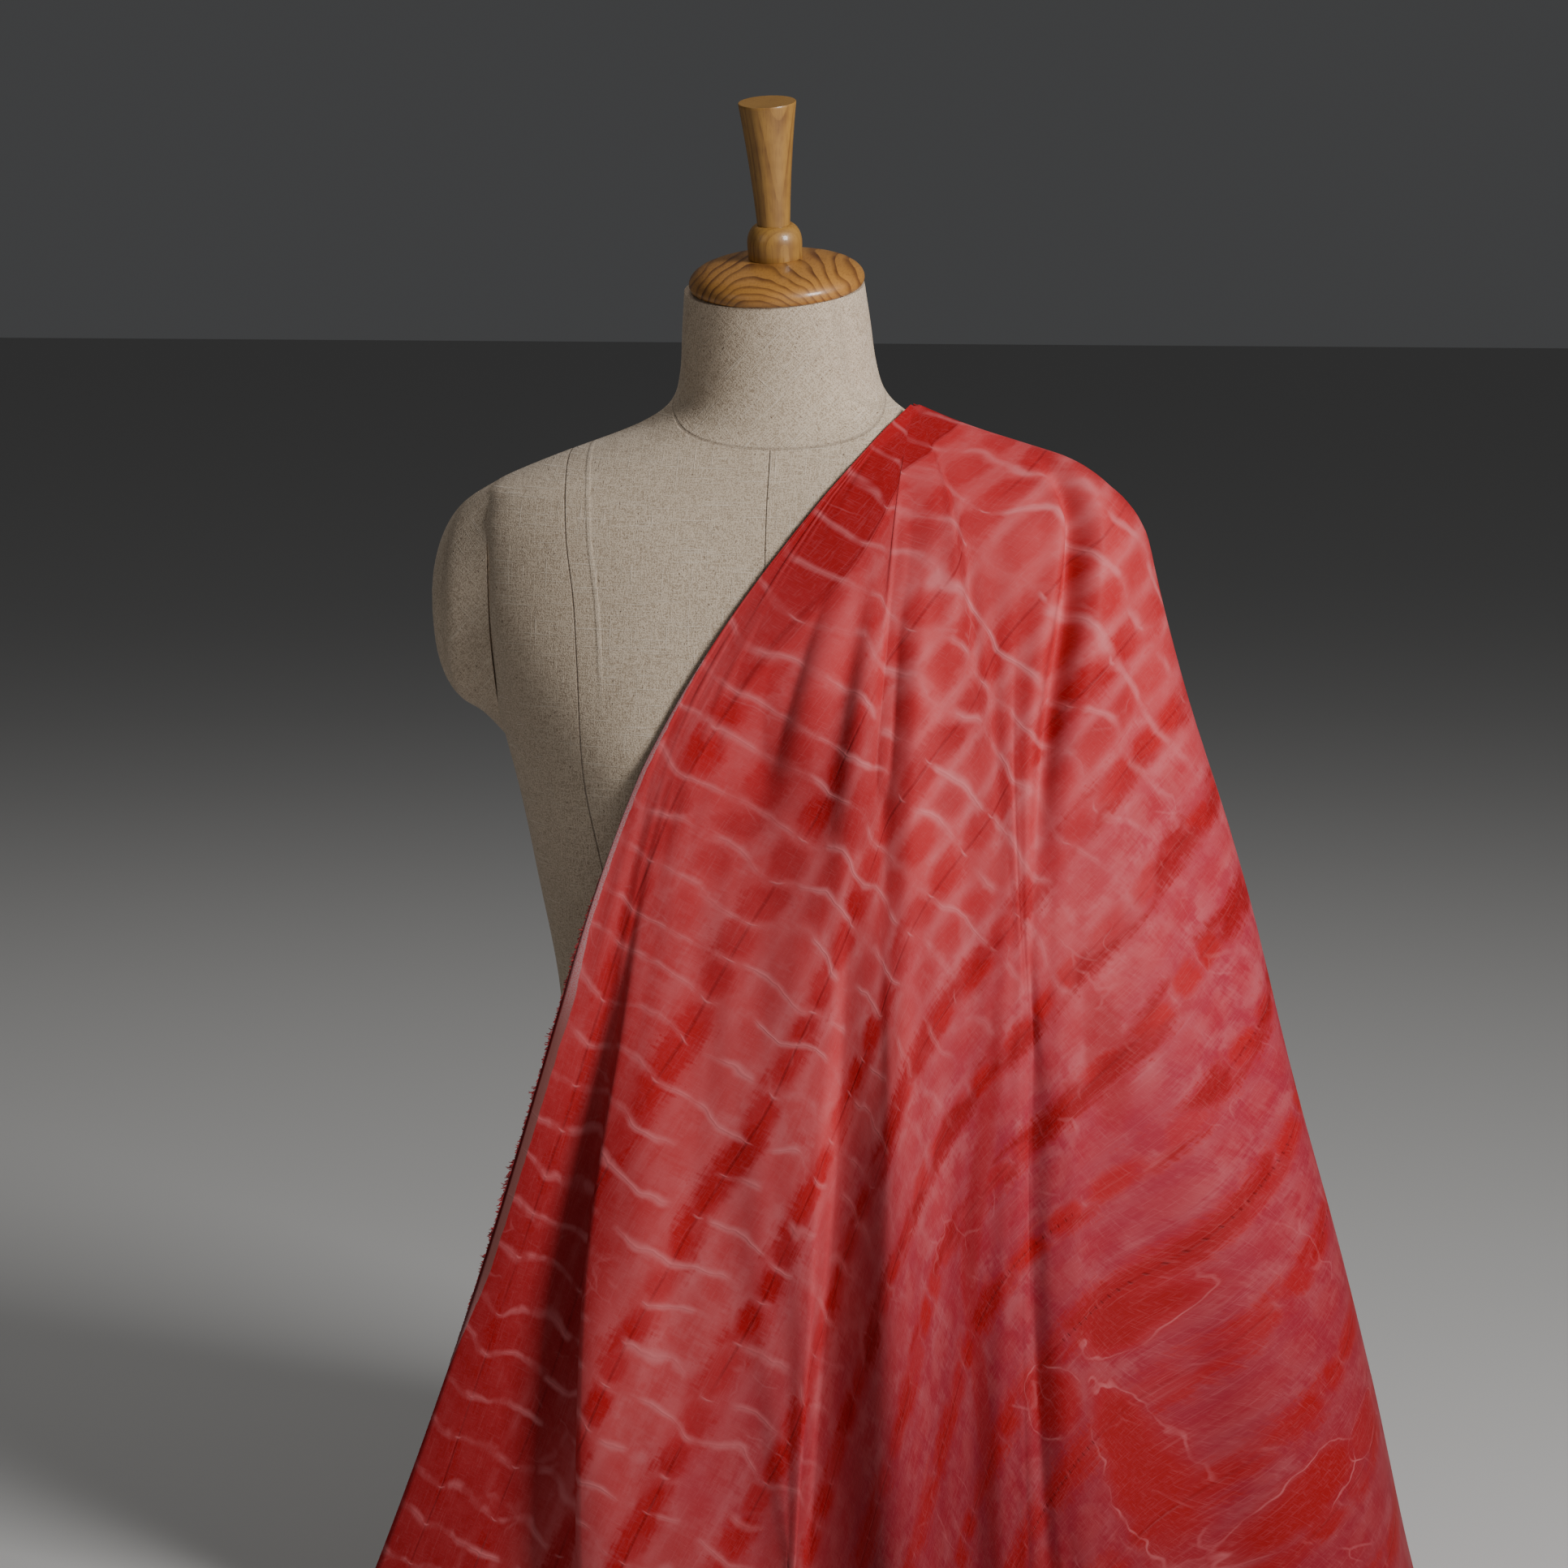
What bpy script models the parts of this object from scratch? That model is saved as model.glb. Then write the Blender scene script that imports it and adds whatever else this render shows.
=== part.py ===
"""Shibori silk fabric draped over one shoulder of a linen dress form with a turned wood cap and handle.

Metres, +Z up. The form stands on its flat base at the origin and faces -Y; the silk hangs from its +X shoulder.
"""

import math
from collections import namedtuple

import bmesh
import bpy
import numpy as np
from mathutils import Matrix, Vector
from mathutils.bvhtree import BVHTree

# Pieces that touch keep this gap
SEAT_GAP = 0.0003
MERGE_DISTANCE = 0.00001
SHARP_ANGLE = math.radians(40)

# Dress form: horizontal sections that tilt into the neck, all leaning a little to -X
LEAN = 0.021
RING_SEGMENTS = 36
RINGS_PER_SECTION = 2
BUST_X = 0.082
BUST_Z = 0.552
BUST_RISE = 0.018
BUST_SPREAD = 0.060
Section = namedtuple("Section", "z half_width front back centre_y square pitch roll")
FORM_SECTIONS = [
    Section(0.000, 0.1660, 0.112, 0.118, 0.000, 2.3, 0.0, 0.0),
    Section(0.100, 0.1750, 0.120, 0.130, 0.000, 2.3, 0.0, 0.0),
    Section(0.190, 0.1760, 0.116, 0.134, 0.000, 2.3, 0.0, 0.0),
    Section(0.300, 0.1620, 0.104, 0.112, 0.000, 2.3, 0.0, 0.0),
    Section(0.395, 0.1530, 0.096, 0.090, 0.000, 2.3, 0.0, 0.0),
    Section(0.480, 0.1670, 0.108, 0.095, 0.000, 2.3, 0.0, 0.0),
    Section(0.540, 0.1770, 0.118, 0.103, 0.000, 2.4, 0.0, 0.0),
    Section(0.595, 0.1910, 0.116, 0.106, 0.000, 2.5, 0.0, 0.0),
    Section(0.650, 0.2100, 0.109, 0.104, 0.000, 2.5, 0.0, 0.0),
    Section(0.700, 0.2120, 0.098, 0.098, 0.000, 2.5, 0.0, 0.0),
    Section(0.741, 0.2020, 0.084, 0.083, 0.003, 2.3, 0.0, 0.0),
    Section(0.752, 0.1800, 0.078, 0.076, 0.005, 2.1, 0.0, 0.0),
    Section(0.769, 0.1390, 0.069, 0.066, 0.007, 2.0, 1.5, 0.3),
    Section(0.785, 0.0960, 0.062, 0.060, 0.008, 2.0, 5.0, 0.8),
    Section(0.798, 0.0750, 0.058, 0.058, 0.007, 2.0, 8.0, 1.2),
    Section(0.815, 0.0665, 0.055, 0.055, 0.005, 2.0, 10.5, 1.6),
    Section(0.845, 0.0630, 0.054, 0.054, -0.001, 2.0, 12.0, 1.6),
    Section(0.876, 0.0595, 0.055, 0.055, -0.008, 2.0, 12.0, 1.6),
]

# Armhole plates: flat sides of the chest that the arm caps are seated on
PLATE_X = 0.1915
PLATE_Z = 0.669
PLATE_SLOPE = 0.040
ARM_HALF_HEIGHT = 0.071
ARM_HALF_DEPTH = 0.052
ARM_BULGE = 0.0430
ARM_DROP = 0.012
ARM_SHRINK_POWER = 0.85
ARM_SWELL_POWER = 0.9
ARM_SEGMENTS = 24
ARM_RINGS = 6

# Turned wood on the neck, as radius and height above the neck's top
Turn = namedtuple("Turn", "radius height")
WOOD_STEPS = 28
CAP_SHIFT = 0.0018
CAP_PROFILE = [
    Turn(0.0556, 0.0000),
    Turn(0.0572, 0.0022),
    Turn(0.0578, 0.0052),
    Turn(0.0560, 0.0090),
    Turn(0.0500, 0.0130),
    Turn(0.0400, 0.0166),
    Turn(0.0280, 0.0188),
    Turn(0.0170, 0.0196),
]
COLLAR_PROFILE = [
    Turn(0.0162, 0.0199),
    Turn(0.0166, 0.0236),
    Turn(0.0180, 0.0286),
    Turn(0.0180, 0.0336),
    Turn(0.0160, 0.0384),
    Turn(0.0128, 0.0420),
]
HANDLE_PROFILE = [
    Turn(0.0106, 0.0423),
    Turn(0.0110, 0.0460),
    Turn(0.0132, 0.0730),
    Turn(0.0160, 0.1000),
    Turn(0.0184, 0.1182),
    Turn(0.0190, 0.1216),
    Turn(0.0182, 0.1232),
]

# Silk: fall lines run from the neck point to the hem, each a taut line over the form
SILK_THICKNESS = 0.0020
SILK_CLEARANCE = 0.0024
SHOULDER_CLEARANCE = 0.0006
SHOULDER_Z = 0.772
SHOULDER_BAND = 0.012
TIP_LIFT = 0.014
TIP_Z = 0.712
TIP_BAND = 0.045
BASE_LINES = 181
FALL_ROWS = 26
ROW_GROWTH = 1.35
FALL_SAMPLES = 160
FALL_STEP = 0.004
OUTSIDE = 2.0
PUSH_PASSES = 3
NECK_POINT = Vector((0.0720, 0.0060, 0.8000))
NECK_ROUNDING = 0.012
HEM_Z = 0.015
SELVAGE_BOW = 0.042
BOW_PEAK = 0.32
BOW_FADE = 2.2
BOW_POWER = 2.2
BOW_END_POWER = 3
FOLD_FADE = 0.16
Hem = namedtuple("Hem", "share x y")
HEM_LINE = [
    Hem(0.00, -0.274, -0.148),
    Hem(0.15, -0.130, -0.178),
    Hem(0.40, 0.080, -0.190),
    Hem(0.58, 0.235, -0.180),
    Hem(0.69, 0.352, -0.125),
    Hem(0.77, 0.407, -0.020),
    Hem(0.84, 0.386, 0.080),
    Hem(0.91, 0.240, 0.155),
    Hem(0.96, 0.080, 0.180),
    Hem(1.00, -0.080, 0.176),
]

# Lanes: paths that the sheet's columns follow, as shares of its width at the top, half way and at the hem
Lane = namedtuple("Lane", "column top middle hem")
SELVAGE = Lane(0, 0.000, 0.000, 0.000)
LEFT_TROUGH = Lane(8, 0.030, 0.040, 0.130)
LEFT_RIDGE = Lane(14, 0.070, 0.092, 0.198)
CHEST = Lane(26, 0.270, 0.230, 0.290)
MIDDLE_VALLEY = Lane(34, 0.420, 0.370, 0.358)
MIDDLE_RIDGE = Lane(39, 0.500, 0.425, 0.408)
TUBE_TROUGH = Lane(47, 0.640, 0.538, 0.472)
TUBE_RIDGE = Lane(51, 0.710, 0.566, 0.494)
SHOULDER_PLEAT = Lane(54, 0.770, 0.590, 0.514)
SIDE_PANEL = Lane(59, 0.800, 0.630, 0.560)
SIDE = Lane(67, 0.840, 0.760, 0.760)
BACK_EDGE = Lane(77, 1.000, 1.000, 1.000)
LANES = [
    SELVAGE, LEFT_TROUGH, LEFT_RIDGE, CHEST, MIDDLE_VALLEY, MIDDLE_RIDGE,
    TUBE_TROUGH, TUBE_RIDGE, SHOULDER_PLEAT, SIDE_PANEL, SIDE, BACK_EDGE,
]

# Main folds: the column each follows, the parts of the fall where it begins, is full and ends, its half width
# in columns, and how far it stands out or sinks in
Fold = namedtuple("Fold", "column begins full ends half rise")
FOLDS = [
    Fold(SELVAGE.column, 0.30, 0.60, 1.2, 3.2, 0.010),
    Fold(LEFT_TROUGH.column, 0.34, 0.70, 1.2, 3.0, -0.020),
    Fold(LEFT_RIDGE.column, 0.36, 0.75, 1.2, 3.4, 0.014),
    Fold(CHEST.column, 0.16, 0.28, 0.46, 1.6, 0.006),
    Fold(CHEST.column + 6.0, 0.18, 0.30, 0.50, 1.6, 0.006),
    Fold(MIDDLE_RIDGE.column + 1.5, 0.16, 0.28, 0.46, 1.6, 0.005),
    Fold(CHEST.column + 4.0, 0.42, 0.75, 1.2, 2.4, 0.010),
    Fold(MIDDLE_VALLEY.column, 0.36, 0.70, 1.2, 2.4, -0.022),
    Fold(MIDDLE_RIDGE.column, 0.36, 0.75, 1.2, 2.4, 0.014),
    Fold(TUBE_TROUGH.column, 0.34, 0.65, 1.2, 2.0, -0.012),
    Fold(TUBE_RIDGE.column, 0.12, 0.55, 1.2, 1.9, 0.012),
    Fold(SHOULDER_PLEAT.column, 0.12, 0.50, 1.2, 1.6, -0.012),
    Fold(SHOULDER_PLEAT.column + 3.0, 0.08, 0.30, 1.2, 2.2, 0.006),
    Fold(SIDE_PANEL.column + 5.5, 0.60, 0.80, 1.2, 3.0, 0.010),
    Fold(SIDE.column + 0.5, 0.20, 0.50, 1.0, 4.0, 0.007),
    Fold(SIDE.column + 4.0, 0.32, 0.77, 1.2, 1.2, -0.022),
    Fold(SIDE.column + 5.7, 0.32, 0.77, 1.2, 1.2, 0.016),
    Fold(SIDE.column + 7.4, 0.32, 0.77, 1.2, 1.1, -0.020),
    Fold(SIDE.column + 8.8, 0.32, 0.77, 1.2, 1.1, 0.012),
]

Finish = namedtuple("Finish", "colour roughness metallic")
LINEN = Finish((0.38, 0.32, 0.26, 1.0), 0.9, 0.0)
WOOD = Finish((0.47, 0.25, 0.07, 1.0), 0.3, 0.0)
SILK = Finish((0.52, 0.10, 0.09, 1.0), 0.5, 0.0)


def clear_scene():
    """Remove every object that the file starts with."""
    for item in list(bpy.data.objects):
        bpy.data.objects.remove(item, do_unlink=True)


def add_object(name, mesh, finish):
    """Link a mesh as a named object with a material of its own, smooth where it is round."""
    material = bpy.data.materials.new(name)
    material.use_nodes = True
    shader = material.node_tree.nodes["Principled BSDF"]
    shader.inputs["Base Color"].default_value = finish.colour
    shader.inputs["Roughness"].default_value = finish.roughness
    shader.inputs["Metallic"].default_value = finish.metallic
    mesh.materials.append(material)
    mesh.shade_smooth()
    mesh.set_sharp_from_angle(angle=SHARP_ANGLE)
    item = bpy.data.objects.new(name, mesh)
    bpy.context.scene.collection.objects.link(item)
    return item


def through_rows(rows, at):
    """Smooth curve through a table: its first column against all the others, at the given places."""
    keys = np.array([row[0] for row in rows])
    values = np.array([row[1:] for row in rows])
    tangents = np.gradient(values, keys, axis=0)
    at = np.clip(np.asarray(at, dtype=float), keys[0], keys[-1])
    index = np.clip(np.searchsorted(keys, at, side="right") - 1, 0, len(keys) - 2)
    span = (keys[index + 1] - keys[index])[:, None]
    u = (at - keys[index])[:, None] / span
    rise = u * u * (3 - 2 * u)
    leave = u * (1 - u) ** 2 * span
    arrive = u * u * (u - 1) * span
    low, high = values[index], values[index + 1]
    return low + (high - low) * rise + tangents[index] * leave + tangents[index + 1] * arrive


def smoothstep(low, high, value):
    """Ease from 0 at low to 1 at high."""
    u = np.clip((value - low) / (high - low), 0.0, 1.0)
    return u * u * (3 - 2 * u)


def signed_power(value, power):
    """Raise the size of a value to a power and keep its sign."""
    return math.copysign(abs(value) ** power, value)


def plate_half_width(z):
    """Distance of the flat armhole plate from the form's own middle at a height."""
    return PLATE_X + PLATE_SLOPE * (z - PLATE_Z)


def form_ring(row):
    """Points of one section of the form, as a tilted, squared oval with the bust on its front."""
    pitch, roll = math.radians(row.pitch), math.radians(row.roll)
    tilt = Matrix.Rotation(roll, 3, "Y").transposed() @ Matrix.Rotation(pitch, 3, "X")
    centre = Vector((-LEAN * row.z, row.centre_y, row.z))
    ring = []
    for i in range(RING_SEGMENTS):
        angle = 2 * math.pi * i / RING_SEGMENTS
        across, deep = math.cos(angle), math.sin(angle)
        x = row.half_width * signed_power(across, 2 / row.square)
        y = (row.front if deep < 0 else row.back) * signed_power(deep, 2 / row.square)
        limit = plate_half_width(row.z)
        x = max(-limit, min(limit, x))
        if deep < 0:
            away = ((abs(x) - BUST_X) ** 2 + (row.z - BUST_Z) ** 2) / BUST_SPREAD**2
            y -= BUST_RISE * math.exp(-away) * abs(deep)
        ring.append(centre + tilt @ Vector((x, y, 0.0)))
    return ring


def loft(rings):
    """Closed mesh through rings of equal length, with flat ends."""
    build = bmesh.new()
    loops = [[build.verts.new(point) for point in ring] for ring in rings]
    for lower, upper in zip(loops, loops[1:]):
        for i in range(len(lower)):
            j = (i + 1) % len(lower)
            build.faces.new((lower[i], lower[j], upper[j], upper[i]))
    build.faces.new(list(reversed(loops[0])))
    build.faces.new(loops[-1])
    bmesh.ops.recalc_face_normals(build, faces=build.faces)
    return build


def finish_mesh(build, name):
    """Turn a bmesh into a mesh of triangles of that name."""
    mesh = bpy.data.meshes.new(name)
    bmesh.ops.triangulate(build, faces=build.faces)
    build.to_mesh(mesh)
    build.free()
    return mesh


def make_form():
    """Torso and neck of the dress form, one covered body."""
    levels = [section.z for section in FORM_SECTIONS]
    last = len(levels) - 1
    heights = np.interp(np.linspace(0, last, RINGS_PER_SECTION * last + 1), range(last + 1), levels)
    rows = through_rows(FORM_SECTIONS, heights)
    rings = [form_ring(Section(z, *row)) for z, row in zip(heights, rows)]
    return add_object("dress_form", finish_mesh(loft(rings), "dress_form"), LINEN)


def make_arm_cap(name, side):
    """Rounded linen cap that closes an armhole, seated on the chest's flat plate."""
    rings = []
    for j in range(ARM_RINGS):
        turn = 0.5 * math.pi * j / ARM_RINGS
        shrink, swell = math.cos(turn) ** ARM_SHRINK_POWER, math.sin(turn) ** ARM_SWELL_POWER
        ring = []
        for i in range(ARM_SEGMENTS):
            angle = 2 * math.pi * i / ARM_SEGMENTS
            z = PLATE_Z + ARM_HALF_HEIGHT * math.sin(angle) * shrink - ARM_DROP * swell
            out = plate_half_width(z) + SEAT_GAP + ARM_BULGE * swell
            ring.append(Vector((side * out - LEAN * z, ARM_HALF_DEPTH * math.cos(angle) * shrink, z)))
        rings.append(ring)
    return add_object(name, finish_mesh(loft(rings), name), LINEN)


def neck_frame():
    """Matrix whose Z runs up the neck from the middle of its top."""
    top = FORM_SECTIONS[-1]
    tilt = Matrix.Rotation(math.radians(top.roll), 3, "Y").transposed()
    tilt = tilt @ Matrix.Rotation(math.radians(top.pitch), 3, "X")
    seat = Vector((CAP_SHIFT - LEAN * top.z, top.centre_y, top.z)) + tilt @ Vector((0.0, 0.0, SEAT_GAP))
    return Matrix.Translation(seat) @ tilt.to_4x4()


def make_turned(name, profile):
    """Wood piece turned round the neck's axis from a profile."""
    build = bmesh.new()
    points = [(0.0, profile[0].height), *profile, (0.0, profile[-1].height)]
    verts = [build.verts.new((radius, 0.0, height)) for radius, height in points]
    edges = [build.edges.new(pair) for pair in zip(verts, verts[1:])]
    bmesh.ops.spin(
        build, geom=verts + edges, cent=(0, 0, 0), axis=(0, 0, 1), dvec=(0, 0, 0),
        angle=2 * math.pi, steps=WOOD_STEPS, use_duplicate=False, use_merge=True,
    )
    bmesh.ops.remove_doubles(build, verts=build.verts, dist=MERGE_DISTANCE)
    bmesh.ops.recalc_face_normals(build, faces=build.faces)
    bmesh.ops.transform(build, matrix=neck_frame(), verts=build.verts)
    return add_object(name, finish_mesh(build, name), WOOD)


def body_tree(items):
    """Search tree over the outer skin of the form and its arm caps."""
    points, faces = [], []
    for item in items:
        start = len(points)
        points.extend(vertex.co.copy() for vertex in item.data.vertices)
        faces.extend([start + v for v in face.vertices] for face in item.data.polygons)
    return BVHTree.FromPolygons(points, faces)


def clearance_at(z):
    """Clearance of the silk's inner face, close along the top of the shoulder and wider below."""
    near = math.exp(-(((z - SHOULDER_Z) / SHOULDER_BAND) ** 2))
    return SILK_CLEARANCE + (SHOULDER_CLEARANCE - SILK_CLEARANCE) * near


def taut_heights(points):
    """Keep the points of a descending line that a taut cord would touch, outermost first."""
    touched = []
    for point in points:
        while len(touched) > 1:
            (z0, d0), (z1, d1) = touched[-2], touched[-1]
            if (d1 - d0) * (z0 - point[0]) > (point[1] - d0) * (z0 - z1):
                break
            touched.pop()
        touched.append(point)
    return touched


def fall_line(tree, share, hem, outward):
    """One fall line as a dense list of points, from the neck point over the form to the hem."""
    sideways = Vector((-outward.y, outward.x, 0.0))
    end = Vector((hem[0], hem[1], HEM_Z))
    stand_off = SILK_THICKNESS / 2
    bow_share = (1.0 - share) ** BOW_FADE * SELVAGE_BOW if outward.y < 0 else 0.0

    def lateral(z):
        down = (NECK_POINT.z - z) / (NECK_POINT.z - HEM_Z)
        straight = NECK_POINT.dot(sideways) * (1 - down) + end.dot(sideways) * down
        swing = ((down / BOW_PEAK) * math.exp(1.0 - down / BOW_PEAK)) ** BOW_POWER
        swing *= 1.0 - down**BOW_END_POWER
        return straight - bow_share * swing

    supports = []
    for z in np.linspace(NECK_POINT.z, HEM_Z, FALL_SAMPLES)[1:-1]:
        start = sideways * lateral(z) + outward * OUTSIDE + Vector((0.0, 0.0, z))
        hit, normal, _, _ = tree.ray_cast(start, -outward)
        if hit is None:
            continue
        tip = TIP_LIFT * max(outward.x, 0.0) * math.exp(-(((z - TIP_Z) / TIP_BAND) ** 2))
        lifted = hit + normal * (clearance_at(z) + stand_off + tip)
        if HEM_Z < lifted.z < NECK_POINT.z:
            supports.append((lifted.z, lifted.dot(outward)))
    supports.sort(key=lambda point: -point[0])
    first = (NECK_POINT.z, NECK_POINT.dot(outward))
    line = taut_heights([first, *supports, (HEM_Z, end.dot(outward))])
    dense = []
    for (z0, d0), (z1, d1) in zip(line, line[1:]):
        steps = max(1, int(math.hypot(z1 - z0, d1 - d0) / FALL_STEP))
        for i in range(steps):
            z, d = z0 + (z1 - z0) * i / steps, d0 + (d1 - d0) * i / steps
            dense.append(sideways * lateral(z) + outward * d + Vector((0.0, 0.0, z)))
    dense.append(end)
    return np.array(dense)


def drape_grid(tree, shares, falls):
    """Middle surface of the silk before its folds: a fall line for each share, a row for each step down it."""
    hems = through_rows(HEM_LINE, shares)
    nudge = 0.5 / BASE_LINES
    runs = through_rows(HEM_LINE, shares + nudge) - through_rows(HEM_LINE, shares - nudge)
    grid = np.zeros((len(falls), len(shares), 3))
    for k, (share, hem, run) in enumerate(zip(shares, hems, runs)):
        outward = Vector((run[1], -run[0], 0.0)).normalized()
        line = fall_line(tree, share, hem, outward)
        lengths = np.concatenate(([0.0], np.cumsum(np.linalg.norm(np.diff(line, axis=0), axis=1))))
        stops = NECK_ROUNDING + (lengths[-1] - NECK_ROUNDING) * falls
        for axis in range(3):
            grid[:, k, axis] = np.interp(stops, lengths, line[:, axis])
    return grid


def lane_shares(falls, columns):
    """Share of the sheet's width at every row and column, bent along the lanes."""
    steer = np.stack([(2 * falls - 1) * (falls - 1), 4 * falls * (1 - falls), falls * (2 * falls - 1)])
    paths = np.array([[lane.top, lane.middle, lane.hem] for lane in LANES]) @ steer
    stops = [lane.column for lane in LANES]
    return np.array([np.interp(columns, stops, path) for path in paths.T])


def along_lanes(grid, shares, wanted):
    """The same surface read at other shares of its width, row by row."""
    rows = [[np.interp(want, shares, row[:, axis]) for axis in range(3)] for row, want in zip(grid, wanted)]
    return np.array(rows).transpose(0, 2, 1)


def grid_normals(grid):
    """Outward normals of a grid of points."""
    down, along = np.gradient(grid, axis=0), np.gradient(grid, axis=1)
    normals = np.cross(down, along)
    return normals / np.linalg.norm(normals, axis=2, keepdims=True)


def fold_relief(falls, columns):
    """How far the folds move each point of the grid out or in."""
    relief = np.zeros((len(falls), len(columns)))
    for fold in FOLDS:
        grow = smoothstep(fold.begins, fold.full, falls)
        fade = 1.0 - smoothstep(fold.ends - FOLD_FADE, fold.ends, falls)
        across = (columns - fold.column) / fold.half
        relief += fold.rise * np.outer(grow * fade, np.exp(-across * across))
    return relief


def clear_of_form(tree, points, normals):
    """Push points outward until the silk's inner face keeps its clearance to the form."""
    for row, col in np.ndindex(points.shape[:2]):
        for _ in range(PUSH_PASSES):
            inner = Vector(points[row, col] - normals[row, col] * SILK_THICKNESS / 2)
            near, skin_normal, _, _ = tree.find_nearest(inner)
            gap = (inner - near).dot(skin_normal)
            lack = clearance_at(inner.z) - gap
            if lack <= 0:
                break
            points[row, col] += np.array(skin_normal) * lack
    return points


def close_edge(build, front, back):
    """Join one step of the sheet's rim from its front skin to its back skin."""
    build.faces.new((front[1], front[0], back[0], back[1]))


def make_silk(tree):
    """The draped silk, one sheet of even thickness."""
    shares = np.linspace(0.0, 1.0, BASE_LINES)
    falls = np.linspace(0.0, 1.0, FALL_ROWS) ** ROW_GROWTH
    columns = np.arange(BACK_EDGE.column + 1)
    grid = along_lanes(drape_grid(tree, shares, falls), shares, lane_shares(falls, columns))
    middle = grid + grid_normals(grid) * fold_relief(falls, columns)[:, :, None]
    normals = grid_normals(middle)
    middle = clear_of_form(tree, middle, normals)
    normals = grid_normals(middle)
    outer = middle + normals * SILK_THICKNESS / 2
    inner = middle - normals * SILK_THICKNESS / 2
    build = bmesh.new()
    front, back = [[[build.verts.new(p) for p in row] for row in skin] for skin in (outer, inner)]
    last_row, last_column = FALL_ROWS - 1, len(columns) - 1
    for i in range(last_row):
        for k in range(last_column):
            build.faces.new((front[i][k], front[i + 1][k], front[i + 1][k + 1], front[i][k + 1]))
            build.faces.new((back[i][k], back[i][k + 1], back[i + 1][k + 1], back[i + 1][k]))
        close_edge(build, (front[i][0], front[i + 1][0]), (back[i][0], back[i + 1][0]))
        close_edge(build, (front[i + 1][-1], front[i][-1]), (back[i + 1][-1], back[i][-1]))
    for k in range(last_column):
        close_edge(build, (front[0][k + 1], front[0][k]), (back[0][k + 1], back[0][k]))
        close_edge(build, (front[-1][k], front[-1][k + 1]), (back[-1][k], back[-1][k + 1]))
    return add_object("silk", finish_mesh(build, "silk"), SILK)


def main():
    """Build the form first, because the silk hangs over it."""
    clear_scene()
    form = make_form()
    arms = [make_arm_cap("arm_cap_right", -1), make_arm_cap("arm_cap_left", 1)]
    make_turned("neck_cap", CAP_PROFILE)
    make_turned("cap_collar", COLLAR_PROFILE)
    make_turned("handle", HANDLE_PROFILE)
    make_silk(body_tree([form, *arms]))


main()
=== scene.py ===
"""Shibori silk draped over one shoulder of a linen-covered dress form with turned wood fittings.

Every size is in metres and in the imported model's frame: +Z up, the form faces -Y, the silk hangs from the +X shoulder.
"""

import logging
import math
from dataclasses import dataclass
from enum import Enum
from functools import reduce
from typing import Any, Sequence

import bpy
import numpy as np
from mathutils import Matrix, Vector, noise
from mathutils.bvhtree import BVHTree


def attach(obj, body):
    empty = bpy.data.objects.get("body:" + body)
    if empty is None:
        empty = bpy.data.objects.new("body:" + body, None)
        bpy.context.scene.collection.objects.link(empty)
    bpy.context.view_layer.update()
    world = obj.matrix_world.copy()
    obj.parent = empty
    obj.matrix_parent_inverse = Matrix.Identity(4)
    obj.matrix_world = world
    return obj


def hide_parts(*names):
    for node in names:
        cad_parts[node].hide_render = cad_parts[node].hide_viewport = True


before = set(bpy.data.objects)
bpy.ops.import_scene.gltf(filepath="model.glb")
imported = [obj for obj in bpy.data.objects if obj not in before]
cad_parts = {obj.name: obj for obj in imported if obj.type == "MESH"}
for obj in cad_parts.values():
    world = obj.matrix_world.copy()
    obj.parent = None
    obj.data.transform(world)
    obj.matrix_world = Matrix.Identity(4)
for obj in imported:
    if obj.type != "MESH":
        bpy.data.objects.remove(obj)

LOG = logging.getLogger("shibori_drape")
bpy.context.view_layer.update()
BODY = "root"

Colour = tuple[float, float, float, float]
Socket = bpy.types.NodeSocket
Piece = bpy.types.Object


class Grain(Enum):
    """Way in which a piece of wood was cut, as the direction that its growth rings turn round."""

    FACE = (math.radians(90.0), 0.0, 0.0)
    LENGTH = (math.radians(14.0), math.radians(-1.0), 0.0)


class Cut(Enum):
    """Way in which a linen panel lies on the form, as the turn of its threads."""

    STRAIGHT = 0.0
    BIAS = 1.0


# ---- tables ----


@dataclass(frozen=True)
class Turn:
    """One row of a turned profile: radius at a height above the neck's top."""

    radius: float
    height: float


@dataclass(frozen=True)
class HemPoint:
    """Where the hem passes at a share of the silk's spread."""

    share: float
    x: float
    y: float


@dataclass(frozen=True)
class Lane:
    """Path of a column of the sheet, as shares of its spread at the top, half way and at the hem."""

    column: float
    top: float
    middle: float
    hem: float


@dataclass(frozen=True)
class Fold:
    """A soft ridge or trough that follows one column of the sheet.

    begins, full and ends are parts of the fall, left and right its half widths in columns, rise how far it stands
    out, lean how far its crest falls over towards higher columns, and square how steep its sides are.
    """

    column: float
    begins: float
    full: float
    ends: float
    left: float
    right: float
    rise: float
    lean: float = 0.0
    square: float = 2.0


@dataclass(frozen=True)
class Spread:
    """Flat angle of the cloth at a share of its spread, close under the shoulder and lower down, in degrees."""

    share: float
    near: float
    far: float


@dataclass(frozen=True)
class PoolOrShadePatch:
    """A large pool of dye, or a patch of painted shade over a fold, on the flat cloth: its middle, its half sizes, its
    slant over the rows, its strength.
    """

    along: float
    across: float
    half_along: float
    half_across: float
    slant: float
    strength: float


# ---- node building ----


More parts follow.
